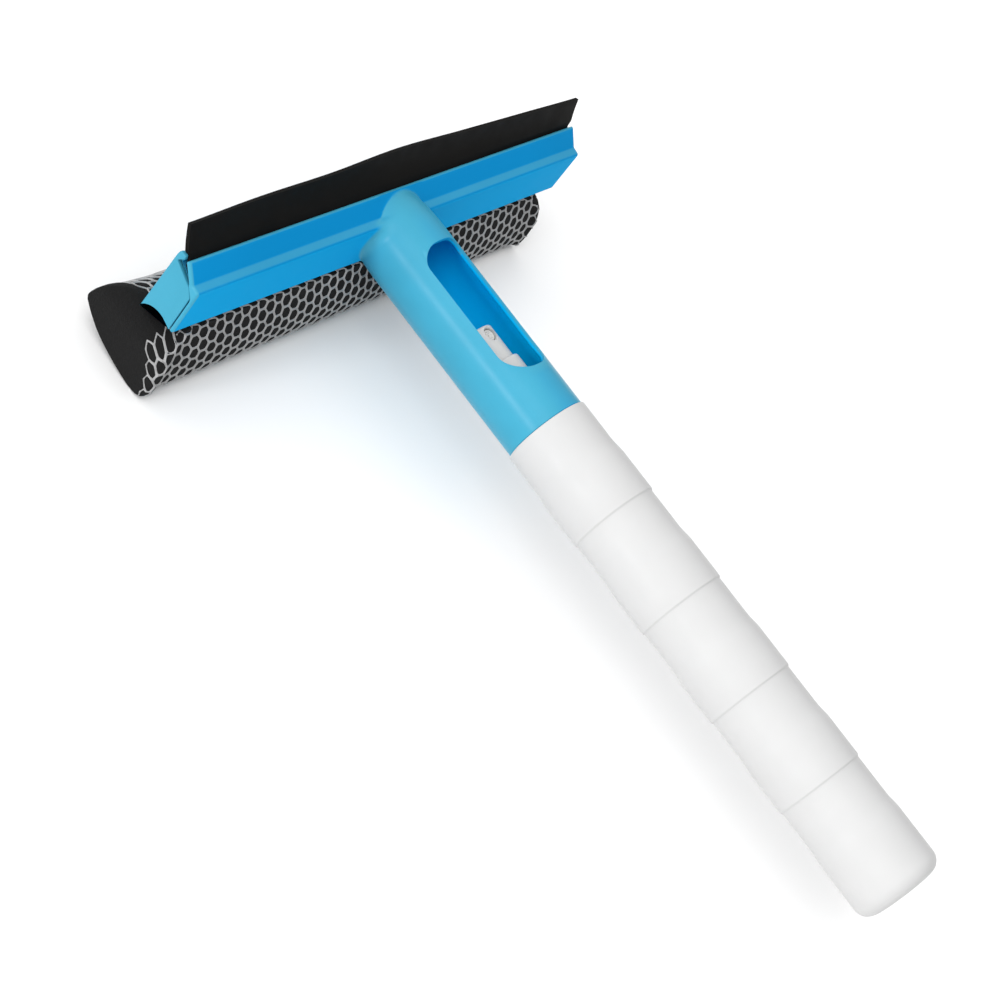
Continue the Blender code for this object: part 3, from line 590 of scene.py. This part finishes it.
def distance_to(outline, points):
    """Signed distances of 2D points to a closed outline, negative inside."""
    ring = np.array([tuple(p) for p in outline])
    ahead = np.roll(ring, -1, axis=0)
    side = ahead - ring
    offset = points[:, None, :] - ring[None]
    share = np.clip((offset * side).sum(2) / np.maximum((side * side).sum(1), 1e-12), 0.0, 1.0)
    nearest = np.linalg.norm(offset - share[..., None] * side, axis=2).min(1)
    above = ring[:, 1] > points[:, 1:2]
    crossing = above != (ahead[:, 1] > points[:, 1:2])
    rise = np.where(np.abs(side[:, 1]) < 1e-12, 1e-12, side[:, 1])
    at = ring[:, 0] + (points[:, 1:2] - ring[:, 1]) * side[:, 0] / rise
    inside = (crossing & (points[:, 0:1] < at)).sum(1) % 2 == 1
    return np.where(inside, -nearest, nearest)


# ---------------------------------------------------------------- head


def nose_profile():
    """The tube's blunt nose, from the axis out to its full radius."""
    return [tuple(point) for point in smooth_path(NOSE, 0.6)]


def tube_body():
    """The tube with its nose outside and its bore inside."""
    profile = nose_profile()
    profile += [(TUBE_RADIUS, y) for y in np.linspace(-9.7, -13.2, 6)]
    profile += [(TUBE_RADIUS, y) for y in np.linspace(-14.0, TUBE_END + 0.2, 16)]
    profile += arc((TUBE_RADIUS - 0.2, TUBE_END + 0.2), 0.2, -15.0, -90.0, 3)
    profile += arc((BORE_RADIUS + 0.3, TUBE_END + 0.3), 0.3, -90.0, -180.0, 3)
    profile += [(BORE_RADIUS, y) for y in np.linspace(TUBE_END + 3.0, BORE_TOP - 3.0, 12)]
    profile += arc((BORE_RADIUS - 2.5, BORE_TOP - 2.5), 2.5, 0.0, 90.0, 5)
    profile.append((0.0, BORE_TOP))
    return turned(profile, 128)


def window_block():
    """Round-cornered block that cuts the finger window through the tube's front wall."""
    outline = []
    for side, radius, start in ((1, WINDOW_CORNER, 0.0), (-1, WINDOW_CORNER, 90.0),
                                (-1, WINDOW_FOOT_CORNER, 180.0), (1, WINDOW_FOOT_CORNER, 270.0)):
        y = WINDOW_TOP - radius if start < 180.0 else WINDOW_BOTTOM + radius
        outline += arc((side * (WINDOW_HALF - radius), y), radius, start, start + 90.0, 14)
    rings = [[(x, y, z) for x, y in outline] for z in (AXIS_Z + 1.0, AXIS_Z + TUBE_RADIUS + 5.0)]
    return skin(rings)


def soften_window(mesh):
    """Break the window's sharp edges with a small bevel."""
    edges = []
    for edge in mesh.edges:
        middle = 0.5 * (edge.verts[0].co + edge.verts[1].co)
        front = middle.z > AXIS_Z + 5.0 and WINDOW_BOTTOM - 1.0 < middle.y < WINDOW_TOP + 1.0
        if front and len(edge.link_faces) == 2 and edge.calc_face_angle(0.0) > math.radians(40.0):
            edges.append(edge)
    bmesh.ops.bevel(mesh, geom=edges, offset=WINDOW_BREAK, segments=2, profile=0.5, affect="EDGES",
                    clamp_overlap=True)


def flow_junction(mesh):
    """Pull the surface round the joint of tube and bar onto a smooth union, as a moulded fillet.

    The fillet is widest on the lower plate, on the left of the tube.
    """
    envelope = rounded(BAR_ENVELOPE)
    side = nose_profile() + [(TUBE_RADIUS, -40.0)]
    profile = side + [(-r, y) for r, y in reversed(side)]

    def fields(points):
        bar = distance_to(envelope, points[:, [2, 1]])
        radius = np.hypot(points[:, 0], points[:, 2] - AXIS_Z)
        tube = distance_to(profile, np.stack([radius, points[:, 1]], 1))
        above = np.interp(points[:, 1], (0.5, 2.5), (FILLET, FILLET_TOP))
        behind = np.interp(points[:, 2], (-17.0, -9.0), (FILLET_TOP, FILLET))
        reach = np.where(points[:, 2] < -9.0, behind, above)
        reach = FILLET_TOP + (reach - FILLET_TOP) * np.interp(points[:, 0], (0.0, 7.0), (1.0, 0.0))
        overlap = np.maximum(reach - np.abs(bar - tube), 0.0) / reach
        return bar, tube, np.minimum(bar, tube) - 0.25 * reach * overlap ** 2

    verts = [v for v in mesh.verts if abs(v.co.x) < 24.0 and -12.0 < v.co.y < 12.0]
    points = np.array([v.co for v in verts])
    bar, tube, _ = fields(points)
    on_skin = (np.minimum(bar, tube) > -0.2) & (bar < FILLET) & (tube < FILLET)
    chosen = [v for v, keep in zip(verts, on_skin) if keep]
    points = points[on_skin]
    step = 0.02
    for _ in range(4):
        value = fields(points)[2]
        slope = np.stack([(fields(points + step * axis)[2] - fields(points - step * axis)[2]) / (2.0 * step)
                          for axis in np.eye(3)], 1)
        points -= slope * (value / np.maximum((slope ** 2).sum(1), 0.05))[:, None]
    for vert, point in zip(chosen, points):
        vert.co = point


def make_head():
    """Crossbar, ridge, flange and tube in one moulding."""
    outline = divided(rounded(BAR_CORNERS), 1.0)
    slices = [-70.0, -45.0, *np.arange(-26.0, 26.5, 1.0), 45.0, 70.0]
    head = rounded_bar(outline, -BAR_HALF, BAR_HALF, END_ROUND, slices, END_BREAK)
    seat = [Vector(point) for point in CAP_SEAT]
    for low, high in ((-BAR_HALF - 1.0, -CAP_INNER), (CAP_INNER, BAR_HALF + 1.0)):
        head = combine(head, skin([at_x(seat, low), at_x(seat, high)]), "DIFFERENCE")
    channel = [Vector(point) for point in CHANNEL_SPACE]
    tube = combine(tube_body(), skin([at_x(channel, -20.0), at_x(channel, 20.0)]), "DIFFERENCE")
    tube = combine(tube, window_block(), "DIFFERENCE")
    soften_window(tube)
    head = combine(head, tube, "UNION")
    flow_junction(head)
    return piece("head_shell", head, "head_blue", "head", ["head"])


def make_panel(name, node, side):
    """Flat end panel: a concave seat for the foam at its rear and a rolled lip at its front."""
    corners = [(point, 0.05) for point in arc(SEAT_CENTRE, SEAT_RADIUS, 64.5, -28.0, 16)] + [*PANEL_CORNERS]
    outer, inner = side * BAR_HALF, side * (BAR_HALF - PANEL_THICK)
    mesh = rounded_bar(rounded(corners), min(outer, inner), max(outer, inner), 0.35)
    return piece(name, mesh, "cap_blue", "head", [node])


# ---------------------------------------------------------------- blade


def along_bar(values, x):
    """Smooth value at x through values at equal steps from the left end to the right end."""
    place = (x / BLADE_HALF + 1.0) * 0.5 * (len(values) - 1)
    i = min(int(place), len(values) - 2)
    t = place - i
    p0, p1, p2, p3 = values[max(i - 1, 0)], values[i], values[i + 1], values[min(i + 2, len(values) - 1)]
    return 0.5 * (2.0 * p1 + (p2 - p0) * t + (2.0 * p0 - 5.0 * p1 + 4.0 * p2 - p3) * t ** 2
                  + (3.0 * p1 - 3.0 * p2 + p3 - p0) * t ** 3)


def blade_ring(x):
    """Blade section: a wedge root in the slot, a waist at the mouth and a lip that curls forward."""
    length = along_bar(BLADE_LENGTHS, x)
    lean = along_bar(BLADE_ANGLES, x)
    curl = BLADE_CURL * (1.0 - 0.7 * ease(abs(x), 55.0, 99.0))
    centres = [Vector(point) for point in BLADE_ROOT]
    halves = [*BLADE_ROOT_HALVES]
    steps = 16
    place = Vector(BLADE_MOUTH)
    for k in range(steps + 1):
        share = k / steps
        centres.append(place.copy())
        swell = min(1.0, share * length / 2.4)
        halves.append((0.42 + 0.38 * swell * swell * (3.0 - 2.0 * swell)) * (1.0 - 0.22 * share))
        turn = math.radians(lean + curl * math.cos(math.pi * (share + 0.5 / steps)))
        place += Vector((math.cos(turn), math.sin(turn))) * (length / steps)
    front, rear = [], []
    for i, (centre, half) in enumerate(zip(centres, halves)):
        along = (centres[min(i + 1, len(centres) - 1)] - centres[max(i - 1, 0)]).normalized()
        across = Vector((along.y, -along.x)) * half
        reach = BLADE_ROOT_END + (BLADE_HALF - BLADE_ROOT_END) * min(1.0, max(0.0, (i - 4) / 3.0))
        place_x = x * reach / BLADE_HALF
        front.append((place_x, (centre + across).y, (centre + across).x))
        rear.append((place_x, (centre - across).y, (centre - across).x))
    return front + rear[::-1]


def make_blade():
    mesh = skin([blade_ring(x) for x in np.linspace(-BLADE_HALF, BLADE_HALF, 61)])
    return piece("wiper_blade", mesh, "rubber", "head", ["rubber_blade"])


# ---------------------------------------------------------------- foam and net


def smooth_path(points, step):
    """Catmull-Rom curve through section points, cut to equal steps of about a length."""
    knots = [Vector(p) for p in points]
    fine = []
    for i in range(len(knots) - 1):
        p0, p1, p2 = knots[max(i - 1, 0)], knots[i], knots[i + 1]
        p3 = knots[min(i + 2, len(knots) - 1)]
        for k in range(12):
            t = k / 12.0
            fine.append(0.5 * (2.0 * p1 + (p2 - p0) * t + (2.0 * p0 - 5.0 * p1 + 4.0 * p2 - p3) * t ** 2
                               + (3.0 * p1 - 3.0 * p2 + p3 - p0) * t ** 3))
    fine.append(knots[-1])
    reach = np.concatenate([[0.0], np.cumsum([(b - a).length for a, b in zip(fine, fine[1:])])])
    count = round(reach[-1] / step)
    wanted = np.linspace(0.0, reach[-1], count + 1)
    zs = np.interp(wanted, reach, [p.x for p in fine])
    ys = np.interp(wanted, reach, [p.y for p in fine])
    return [Vector((z, y)) for z, y in zip(zs, ys)]


def foam_end(side, z):
    """Where the foam ends on a side at a depth: it spreads past its pinched neck."""
    share = min(1.0, max(0.0, (z - PINCH_FROM) / (PINCH_TO - PINCH_FROM)))
    return FOAM_ENDS[0] + FOAM_PINCH * share ** 2 if side < 0 else FOAM_ENDS[1] - FOAM_PINCH * share ** 2


def ease(value, low, high):
    share = min(1.0, max(0.0, (value - low) / (high - low)))
    return share * share * (3.0 - 2.0 * share)


def pinch(x, y):
    """How far the net draws the foam in, at a distance along the bar and a height."""
    held = NET_INSET * (1.0 - ease(abs(x), NET_EDGE - 1.0, NET_EDGE + 2.5))
    return held + NET_SQUEEZE * ease(y, 14.0, 25.0) * (1.0 - ease(abs(x), 78.0, 97.0))


def swell(foam, pinned):
    """Cloth simulation of the foam skin under a little inner pressure, with the movement capped."""
    trial = foam.copy()
    trial.data = foam.data.copy()
    bpy.context.scene.collection.objects.link(trial)
    group = trial.vertex_groups.new(name="held")
    group.add([int(i) for i in pinned], 1.0, "REPLACE")
    cloth = trial.modifiers.new("swell", "CLOTH")
    settings = cloth.settings
    settings.vertex_group_mass = "held"
    settings.use_pressure = True
    settings.uniform_pressure_force = 3.0
    settings.tension_stiffness = 25.0
    settings.compression_stiffness = 25.0
    settings.bending_stiffness = 4.0
    settings.effector_weights.gravity = 0.0
    cloth.point_cache.frame_start = 1
    cloth.point_cache.frame_end = 20
    for number in range(1, 21):
        bpy.context.scene.frame_set(number)
    evaluated = trial.evaluated_get(bpy.context.evaluated_depsgraph_get())
    moved = np.array([v.co for v in evaluated.data.vertices])
    bpy.context.scene.frame_set(1)
    bpy.data.objects.remove(trial, do_unlink=True)
    rest = np.array([v.co for v in foam.data.vertices])
    shift = moved - rest
    length = np.linalg.norm(shift, axis=1, keepdims=True)
    cap = 0.8 * MM
    rest += shift * (cap * np.tanh(length / cap) / np.maximum(length, 1e-9))
    foam.data.vertices.foreach_set("co", rest.astype(np.float32).ravel())
    foam.data.update()


def make_foam():
    """Foam pad with crisp bare ends, drawn in where the net holds it."""
    path = smooth_path([*NECK_TOP, *FOAM_BODY, *NECK_BOTTOM], 1.6)
    drawn = inset(path, 1.0)
    inwards = [b - a for a, b in zip(path, drawn)]
    shares = [1.0, 0.994, 0.985, 0.975, 0.965, 0.955, 0.945, 0.93, *np.linspace(0.9, 0.0, 31)]
    shares = [-s for s in shares] + [s for s in reversed(shares[:-1])]
    rings = []
    for share in shares:
        ring = []
        for point, inward in zip(path, inwards):
            x = share * abs(FOAM_ENDS[0 if share < 0.0 else 1])
            edge = 0.3 if abs(share) == 1.0 else 0.0
            held = point + inward * (pinch(x, point.y) * ease(-point.x, 16.0, 22.0) + edge)
            ring.append((x, held.y, held.x))
        rings.append(ring)
    mesh = skin(rings)
    for z in np.arange(PINCH_FROM, PINCH_TO + 3.0, 1.0):
        geometry = [*mesh.verts, *mesh.edges, *mesh.faces]
        bmesh.ops.bisect_plane(mesh, geom=geometry, dist=0.01, plane_co=(0.0, 0.0, z),
                               plane_no=(0.0, 0.0, 1.0))
    bmesh.ops.triangulate(mesh, faces=[f for f in mesh.faces if len(f.verts) > 4])
    for vert in mesh.verts:
        vert.co.x *= foam_end(vert.co.x, vert.co.z) / FOAM_ENDS[0 if vert.co.x < 0.0 else 1]
    mesh.verts.index_update()
    pinned = [v.index for v in mesh.verts if abs(v.co.x) > 92.0 or v.co.z > -24.0]
    foam = piece("foam_pad", mesh, "foam", "head", ["sponge"], sharp=50.0)
    swell(foam, pinned)
    return foam


def net_limits(along):
    """Where the net's cut edges lie on the left and the right, at a distance along the section."""
    stations = (0.0, 12.0, 30.0, 50.0, 62.0, 70.0, 73.6, 78.6, 83.7, 88.4, 92.6, 96.1, 104.0)
    left = (-92.0, -92.0, -92.5, -95.0, -97.5, -99.8, -100.8, -103.3, -105.3, -105.0, -102.5, -97.0, -94.0)
    right = (91.5, 91.5, 93.5, 95.0, 96.5, 97.5, 97.5, 97.3, 97.0, 96.5, 96.0, 95.0, 94.0)
    return np.interp(along, stations, left), np.interp(along, stations, right)


def make_net(foam):
    """Knitted hexagonal net stretched round the foam: one ring of yarn round each hole."""
    path = smooth_path([*NECK_TOP[1:], *FOAM_BODY, *NECK_BOTTOM[:-1]], 0.5)
    reach = np.linspace(0.0, 0.5 * (len(path) - 1), len(path))
    drawn = inset(path, 1.0)
    total = reach[-1]
    zs, ys = np.array([p.x for p in path]), np.array([p.y for p in path])
    iz = np.array([b.x - a.x for a, b in zip(path, drawn)])
    iy = np.array([b.y - a.y for a, b in zip(path, drawn)])
    tree = BVHTree.FromObject(foam, bpy.context.evaluated_depsgraph_get())
    to_tool = TO_WORLD.inverted()
    a, b = np.array(CELL_A), np.array(CELL_B)
    corners = [(2 * a + b) / 3, (a + 2 * b) / 3, (b - a) / 3]
    corners += [-c for c in corners]
    rng = np.random.default_rng(7)
    jitter = {}

    def surface(x, along, height):
        along = min(max(along, 0.0), total)
        point = Vector((np.interp(along, reach, zs), np.interp(along, reach, ys)))
        inward = Vector((np.interp(along, reach, iz), np.interp(along, reach, iy))).normalized()
        side = math.copysign(1.0, x)
        half = abs(foam_end(side, point.x))
        over = abs(x) - half
        if over > 0.0:
            flat = point + inward * (over + 0.2)
            base = Vector((side * half, flat.y, flat.x))
            normal = Vector((side, 0.0, 0.0))
        else:
            flat = point + inward * pinch(x, point.y)
            base = Vector((x, flat.y, flat.x))
            normal = Vector((0.0, -inward.y, -inward.x))
            if over > -1.0:
                normal = normal.lerp(Vector((side, 0.0, 0.0)), 0.5 * (1.0 + over)).normalized()
        hit = tree.find_nearest(TO_WORLD @ base)[0]
        return (to_tool @ hit) + normal * height

    def shifted(point):
        """Lattice corners wander a little, and each corner is shared by three cells."""
        key = (round(point[0], 2), round(point[1], 2))
        if key not in jitter:
            jitter[key] = point + rng.normal(0.0, CELL_WANDER, 2)
        return jitter[key]

    mesh = bmesh.new()
    shared = {}
    used = {}
    corner_keys = set()
    cells = []

    def boundary(point):
        key = (round(point[0], 2), round(point[1], 2))
        if key not in shared:
            wander = shifted(point) if key in corner_keys else point
            top, low = surface(*wander, JOINT_HEIGHT), surface(*wander, 0.0)
            shared[key] = (mesh.verts.new(top), mesh.verts.new(low))
        return key

    for i in range(-60, 60):
        for j in range(-60, 60):
            centre = i * a + j * b + np.array(CELL_START)
            if not 0.5 < centre[1] < total - 0.5:
                continue
            low, high = net_limits(centre[1])
            if low < centre[0] < high:
                cells.append(centre)
                for corner in corners:
                    corner_keys.add((round((centre + corner)[0], 2), round((centre + corner)[1], 2)))
    for centre in cells:
        loop = []
        for k, corner in enumerate(corners):
            ahead = corners[(k + 1) % 6]
            loop.append((centre + corner, KNOT_HALF))
            loop.append((centre + 0.5 * (corner + ahead), STRAND_HALF))
        middle = np.mean([shifted(p) if n % 2 == 0 else p for n, (p, _) in enumerate(loop)], axis=0)
        keys, crest, rim = [], [], []
        for n, (point, width) in enumerate(loop):
            keys.append(boundary(point))
            if n % 2 == 0:
                point = shifted(point)
            else:
                point = 0.5 * (shifted(loop[n - 1][0]) + shifted(loop[(n + 1) % 12][0]))
            arm = point - middle
            size = np.linalg.norm(arm)
            top = middle + arm * (1.0 - CREST_SHARE * width / size)
            low = middle + arm * (1.0 - width / size)
            crest.append(mesh.verts.new(surface(*top, CREST_HEIGHT)))
            rim.append(mesh.verts.new(surface(*low, RIM_HEIGHT)))
        for n in range(12):
            m = (n + 1) % 12
            top_n, low_n = shared[keys[n]]
            top_m, low_m = shared[keys[m]]
            mesh.faces.new((top_n, top_m, crest[m], crest[n]))
            mesh.faces.new((crest[n], crest[m], rim[m], rim[n]))
            mesh.faces.new((rim[n], rim[m], low_m, low_n))
            pair = frozenset((keys[n], keys[m]))
            used[pair] = used.get(pair, 0) + 1
    for pair, count in used.items():
        if count == 1:
            first, second = tuple(pair)
            mesh.faces.new((shared[first][0], shared[second][0], shared[second][1], shared[first][1]))
    net = piece("mesh_net", mesh, "net", "head", ["net_sleeve"], sharp=70.0)
    width = 2.0 * NET_EDGE * MM
    return net


# ---------------------------------------------------------------- bottle


def bottle_profile():
    """Bottle wall: threaded neck, spigot, rounded steps, dimpled base and the inner side."""
    neck, thread, spigot = 8.6, 9.15, 12.3
    profile = [(7.2, -69.3), (7.5, -68.95), (8.3, -68.95), (neck, -69.25)]
    for height in (-71.0, -74.0):
        profile += [(neck, height + 1.0), (thread - 0.1, height + 0.4), (thread, height)]
        profile += [(thread - 0.1, height - 0.4), (neck, height - 1.0)]
    profile += [(neck, -76.3), (neck + 0.3, -76.9), (neck + 1.0, -77.4)]
    profile += arc((spigot - 1.0, -78.5), 1.0, 90.0, 0.0, 5)
    profile += [(spigot, -79.4), (12.55, -79.9), (12.6, -80.3), (12.55, -80.7), (spigot, -81.2)]
    profile += [(spigot, -83.2), (spigot + 0.2, -83.4), (BAND_NARROW - 0.35, -83.22)]
    profile += arc((BAND_NARROW - 0.35, -83.57), 0.35, 75.0, 0.0, 4)
    radius = BAND_NARROW
    for i in range(BAND_COUNT + 1):
        height = FIRST_STEP - BAND_PITCH * i
        other = BAND_WIDE if radius == BAND_NARROW else BAND_NARROW
        run = STEP_HALF if radius == BAND_WIDE else RAMP_HALF
        profile.append((radius, height + 7.0))
        for k in range(9):
            grown = radius + (other - radius) * ease(k / 8.0, 0.0, 1.0)
            profile.append((grown, height + run * (1.0 - k / 4.0)))
        profile.append((other, height - 7.0))
        radius = other
    profile += arc((BAND_WIDE - 5.0, BOTTLE_BOTTOM + 5.0), 5.0, 0.0, -90.0, 14)
    profile += [(8.5, BOTTLE_BOTTOM + 0.1), (6.5, BOTTLE_BOTTOM + 0.8), (4.0, BOTTLE_BOTTOM + 1.4)]
    profile += [(0.0, BOTTLE_BOTTOM + 1.5), (0.0, BOTTLE_BOTTOM + 2.7), (4.0, BOTTLE_BOTTOM + 2.7)]
    profile += [(9.8, BOTTLE_BOTTOM + 2.2), (12.8, BOTTLE_BOTTOM + 3.8), (13.8, BOTTLE_BOTTOM + 7.0)]
    profile += [(13.8, -86.1), (11.1, -84.3), (11.1, -79.3), (8.2, -78.7), (7.2, -77.9)]
    return profile


def make_bottle():
    mesh = turned(bottle_profile(), 160)
    return piece("handle_bottle", mesh, "bottle_white", "bottle", ["bottle"])


# ---------------------------------------------------------------- spray pump


def ribbed(radius, y, turn):
    """Grip ribs on the screw cap's skirt."""
    if radius < 10.4 or not -75.7 < y < -65.4:
        return radius
    wave = math.cos(24.0 * turn)
    return radius - 0.35 * (0.5 - 0.5 * max(-1.0, min(1.0, 1.8 * wave)))


def make_closure():
    """Screw cap: a ribbed skirt and a guide collar for the button."""
    profile = arc((7.2, -57.8), 0.5, 90.0, 0.0, 4)
    profile += [(7.7, -64.0)] + arc((8.4, -64.3), 0.7, 180.0, 270.0, 3) + [(10.2, -65.0)]
    profile += arc((10.2, -65.6), 0.6, 80.0, 10.0, 3)
    profile += [(10.8, y) for y in np.linspace(-65.9, -75.4, 5)]
    profile += [(10.5, -75.9), (10.2, -76.0), (9.6, -76.0), (9.45, -75.8), (9.45, -65.9)]
    profile += [(6.7, -65.9), (6.7, -57.5)]
    mesh = turned(profile, 24 * 12, ribbed)
    return piece("screw_cap", mesh, "pump_white", "closure", ["closure"])


def make_button():
    """Push button with a dished top, a recess for the spray insert and a hollow skirt."""
    profile = [(0.0, -44.55), (2.5, -44.45), (4.4, -44.2)] + arc((5.5, -44.9), 0.9, 100.0, 0.0, 8)
    profile += [(6.4, y) for y in np.linspace(-46.0, -58.2, 10)]
    profile += [(6.3, -58.5), (6.1, -58.6), (5.6, -58.6), (5.5, -58.4), (5.5, -52.0), (3.0, -52.0)]
    profile += [(3.0, -55.0), (1.9, -55.0), (1.9, -50.0), (0.0, -50.0)]
    mesh = turned(profile, 96)
    rings = []
    for radius, depth in ((2.4, 2.4), (2.4, 6.0), (2.75, 6.3), (3.4, 12.0)):
        ring = [(radius * math.cos(t), -47.5 + radius * math.sin(t), AXIS_Z + depth)
                for t in np.linspace(0.0, math.tau, 48, endpoint=False)]
        rings.append(ring)
    mesh = combine(mesh, skin(rings), "DIFFERENCE")
    return piece("spray_button", mesh, "pump_white", "button", ["actuator"])


def make_insert():
    """Spray insert: a stepped disc with a ring groove and a conical orifice."""
    face = 5.4
    profile = [
        (0.25, face - 0.8), (0.3, face - 0.5), (0.75, face - 0.12), (0.95, face - 0.05),
        (1.15, face - 0.12), (1.3, face - 0.3), (1.45, face - 0.12), (1.6, face), (1.95, face),
        (2.1, face - 0.15), (2.1, face - 2.4), (0.25, face - 2.4),
    ]
    mesh = turned(profile, 64)
    for vert in mesh.verts:
        x, y, z = vert.co
        vert.co = (x, -47.5 + (z - AXIS_Z), AXIS_Z + y)
    return piece("spray_insert", mesh, "pump_white", "button", ["nozzle_insert"])


def make_spring():
    """Return spring of round wire with closed end turns."""
    wire, radius, turns, low, high = 0.35, 3.0, 5.0, -89.05, -76.85
    steps, sides = 240, 10
    rings = []
    for i in range(steps + 1):
        share = i / steps
        turn = math.tau * turns * share
        climb = min(1.0, max(0.0, (share - 0.08) / 0.84))
        out = Vector((math.cos(turn), 0.0, math.sin(turn)))
        centre = Vector((radius * math.cos(turn), low + (high - low) * climb,
                         AXIS_Z + radius * math.sin(turn)))
        ring = []
        for k in range(sides):
            roll = math.tau * k / sides
            ring.append(centre + out * (wire * math.cos(roll)) + Vector((0.0, wire * math.sin(roll), 0.0)))
        rings.append(ring)
    spring = piece("return_spring", skin(rings), "steel", "pump", ["pump_spring"])
    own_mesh(spring)
    return spring


# ---------------------------------------------------------------- stage


TENT_LEVEL = 0.62
TENT_LEAN = (-0.30, 0.30, 0.55)
# Name, energy, angle across in degrees and heading
LAMPS = (
    ("key", 0.9, 10.0, (0.957, -0.143, -0.253)),
    ("top_fill", 0.8, 40.0, (0.62, 0.0, -0.78)),
)
# Camera: place in metres, and its right, up and back directions
CAMERA_PLACE = (-0.60640, -0.08518, 0.53477)
CAMERA_RIGHT = (0.5880, -0.6009, 0.5414)
CAMERA_UP = (0.3138, 0.7864, 0.5320)
CAMERA_BACK = (-0.7455, -0.1429, 0.6510)


def make_floor():
    """Plain pale floor under the tool."""
    mesh = bmesh.new()
    bmesh.ops.create_grid(mesh, x_segments=1, y_segments=1, size=4.0)
    data = bpy.data.meshes.new("floor")
    mesh.to_mesh(data)
    mesh.free()
    floor = bpy.data.objects.new("floor", data)
    bpy.context.scene.collection.objects.link(floor)
    floor.location.z = CAD_BOX[0].z - 0.2 * MM
    material, tree, shader = new_material("floor_paper", (0.95, 0.95, 0.95), 0.8, specular=0.1)
    cloud = texture(tree, "ShaderNodeTexNoise", 300.0)
    share = remap(tree, cloud.outputs["Fac"], 0.3, 0.7, 0.0, 1.0)
    paper = blend_colours(tree, share, (0.94, 0.94, 0.94), (0.96, 0.96, 0.96))
    tree.links.new(paper, shader.inputs["Base Color"])
    data.materials.append(material)


def make_studio():
    """White tent, brightest overhead, behind the head and on the left, and two soft lights from the left.

    The key light is low and the fill reaches into the finger window from above.
    """
    world = bpy.data.worlds.new("studio")
    world.use_nodes = True
    tree = world.node_tree
    place = tree.nodes.new("ShaderNodeTexCoord")
    lean = tree.nodes.new("ShaderNodeVectorMath")
    lean.operation = "DOT_PRODUCT"
    lean.inputs[1].default_value = TENT_LEAN
    tree.links.new(place.outputs["Generated"], lean.inputs[0])
    level = tree.nodes.new("ShaderNodeMath")
    level.inputs[1].default_value = TENT_LEVEL
    tree.links.new(lean.outputs["Value"], level.inputs[0])
    background = tree.nodes["Background"]
    background.inputs["Color"].default_value = (1.0, 1.0, 1.0, 1.0)
    tree.links.new(level.outputs["Value"], background.inputs["Strength"])
    bpy.context.scene.world = world
    for name, energy, angle, heading in LAMPS:
        data = bpy.data.lights.new(name, "SUN")
        data.energy = energy
        data.angle = math.radians(angle)
        lamp = bpy.data.objects.new(name, data)
        lamp.rotation_euler = Vector(heading).to_track_quat("-Z", "Y").to_euler()
        bpy.context.scene.collection.objects.link(lamp)
    bpy.context.scene.view_settings.view_transform = "Standard"


def make_camera():
    data = bpy.data.cameras.new("camera")
    data.lens = 88.2
    data.sensor_width = 36.0
    data.clip_start = 0.01
    camera = bpy.data.objects.new("camera", data)
    turn = Matrix((CAMERA_RIGHT, CAMERA_UP, CAMERA_BACK)).transposed().to_4x4()
    camera.matrix_world = Matrix.Translation(CAMERA_PLACE) @ turn
    bpy.context.scene.collection.objects.link(camera)
    bpy.context.scene.camera = camera


def finish_cad_nodes():
    """Give every carried-over CAD node its procedural material."""
    slots = {part["node"]: part["material_slot"] for part in frame["record"]["subparts"]}
    for name, node in frame["nodes"].items():
        node.data.materials.clear()
        node.data.materials.append(MATERIALS[slots[name]])


make_camera()
make_studio()
make_floor()
finish_cad_nodes()
make_head()
make_panel("end_panel_left", "end_cap_left", -1)
make_panel("end_panel_right", "end_cap_right", 1)
make_blade()
FOAM = make_foam()
make_net(FOAM)
make_bottle()
make_closure()
make_button()
make_insert()
make_spring()
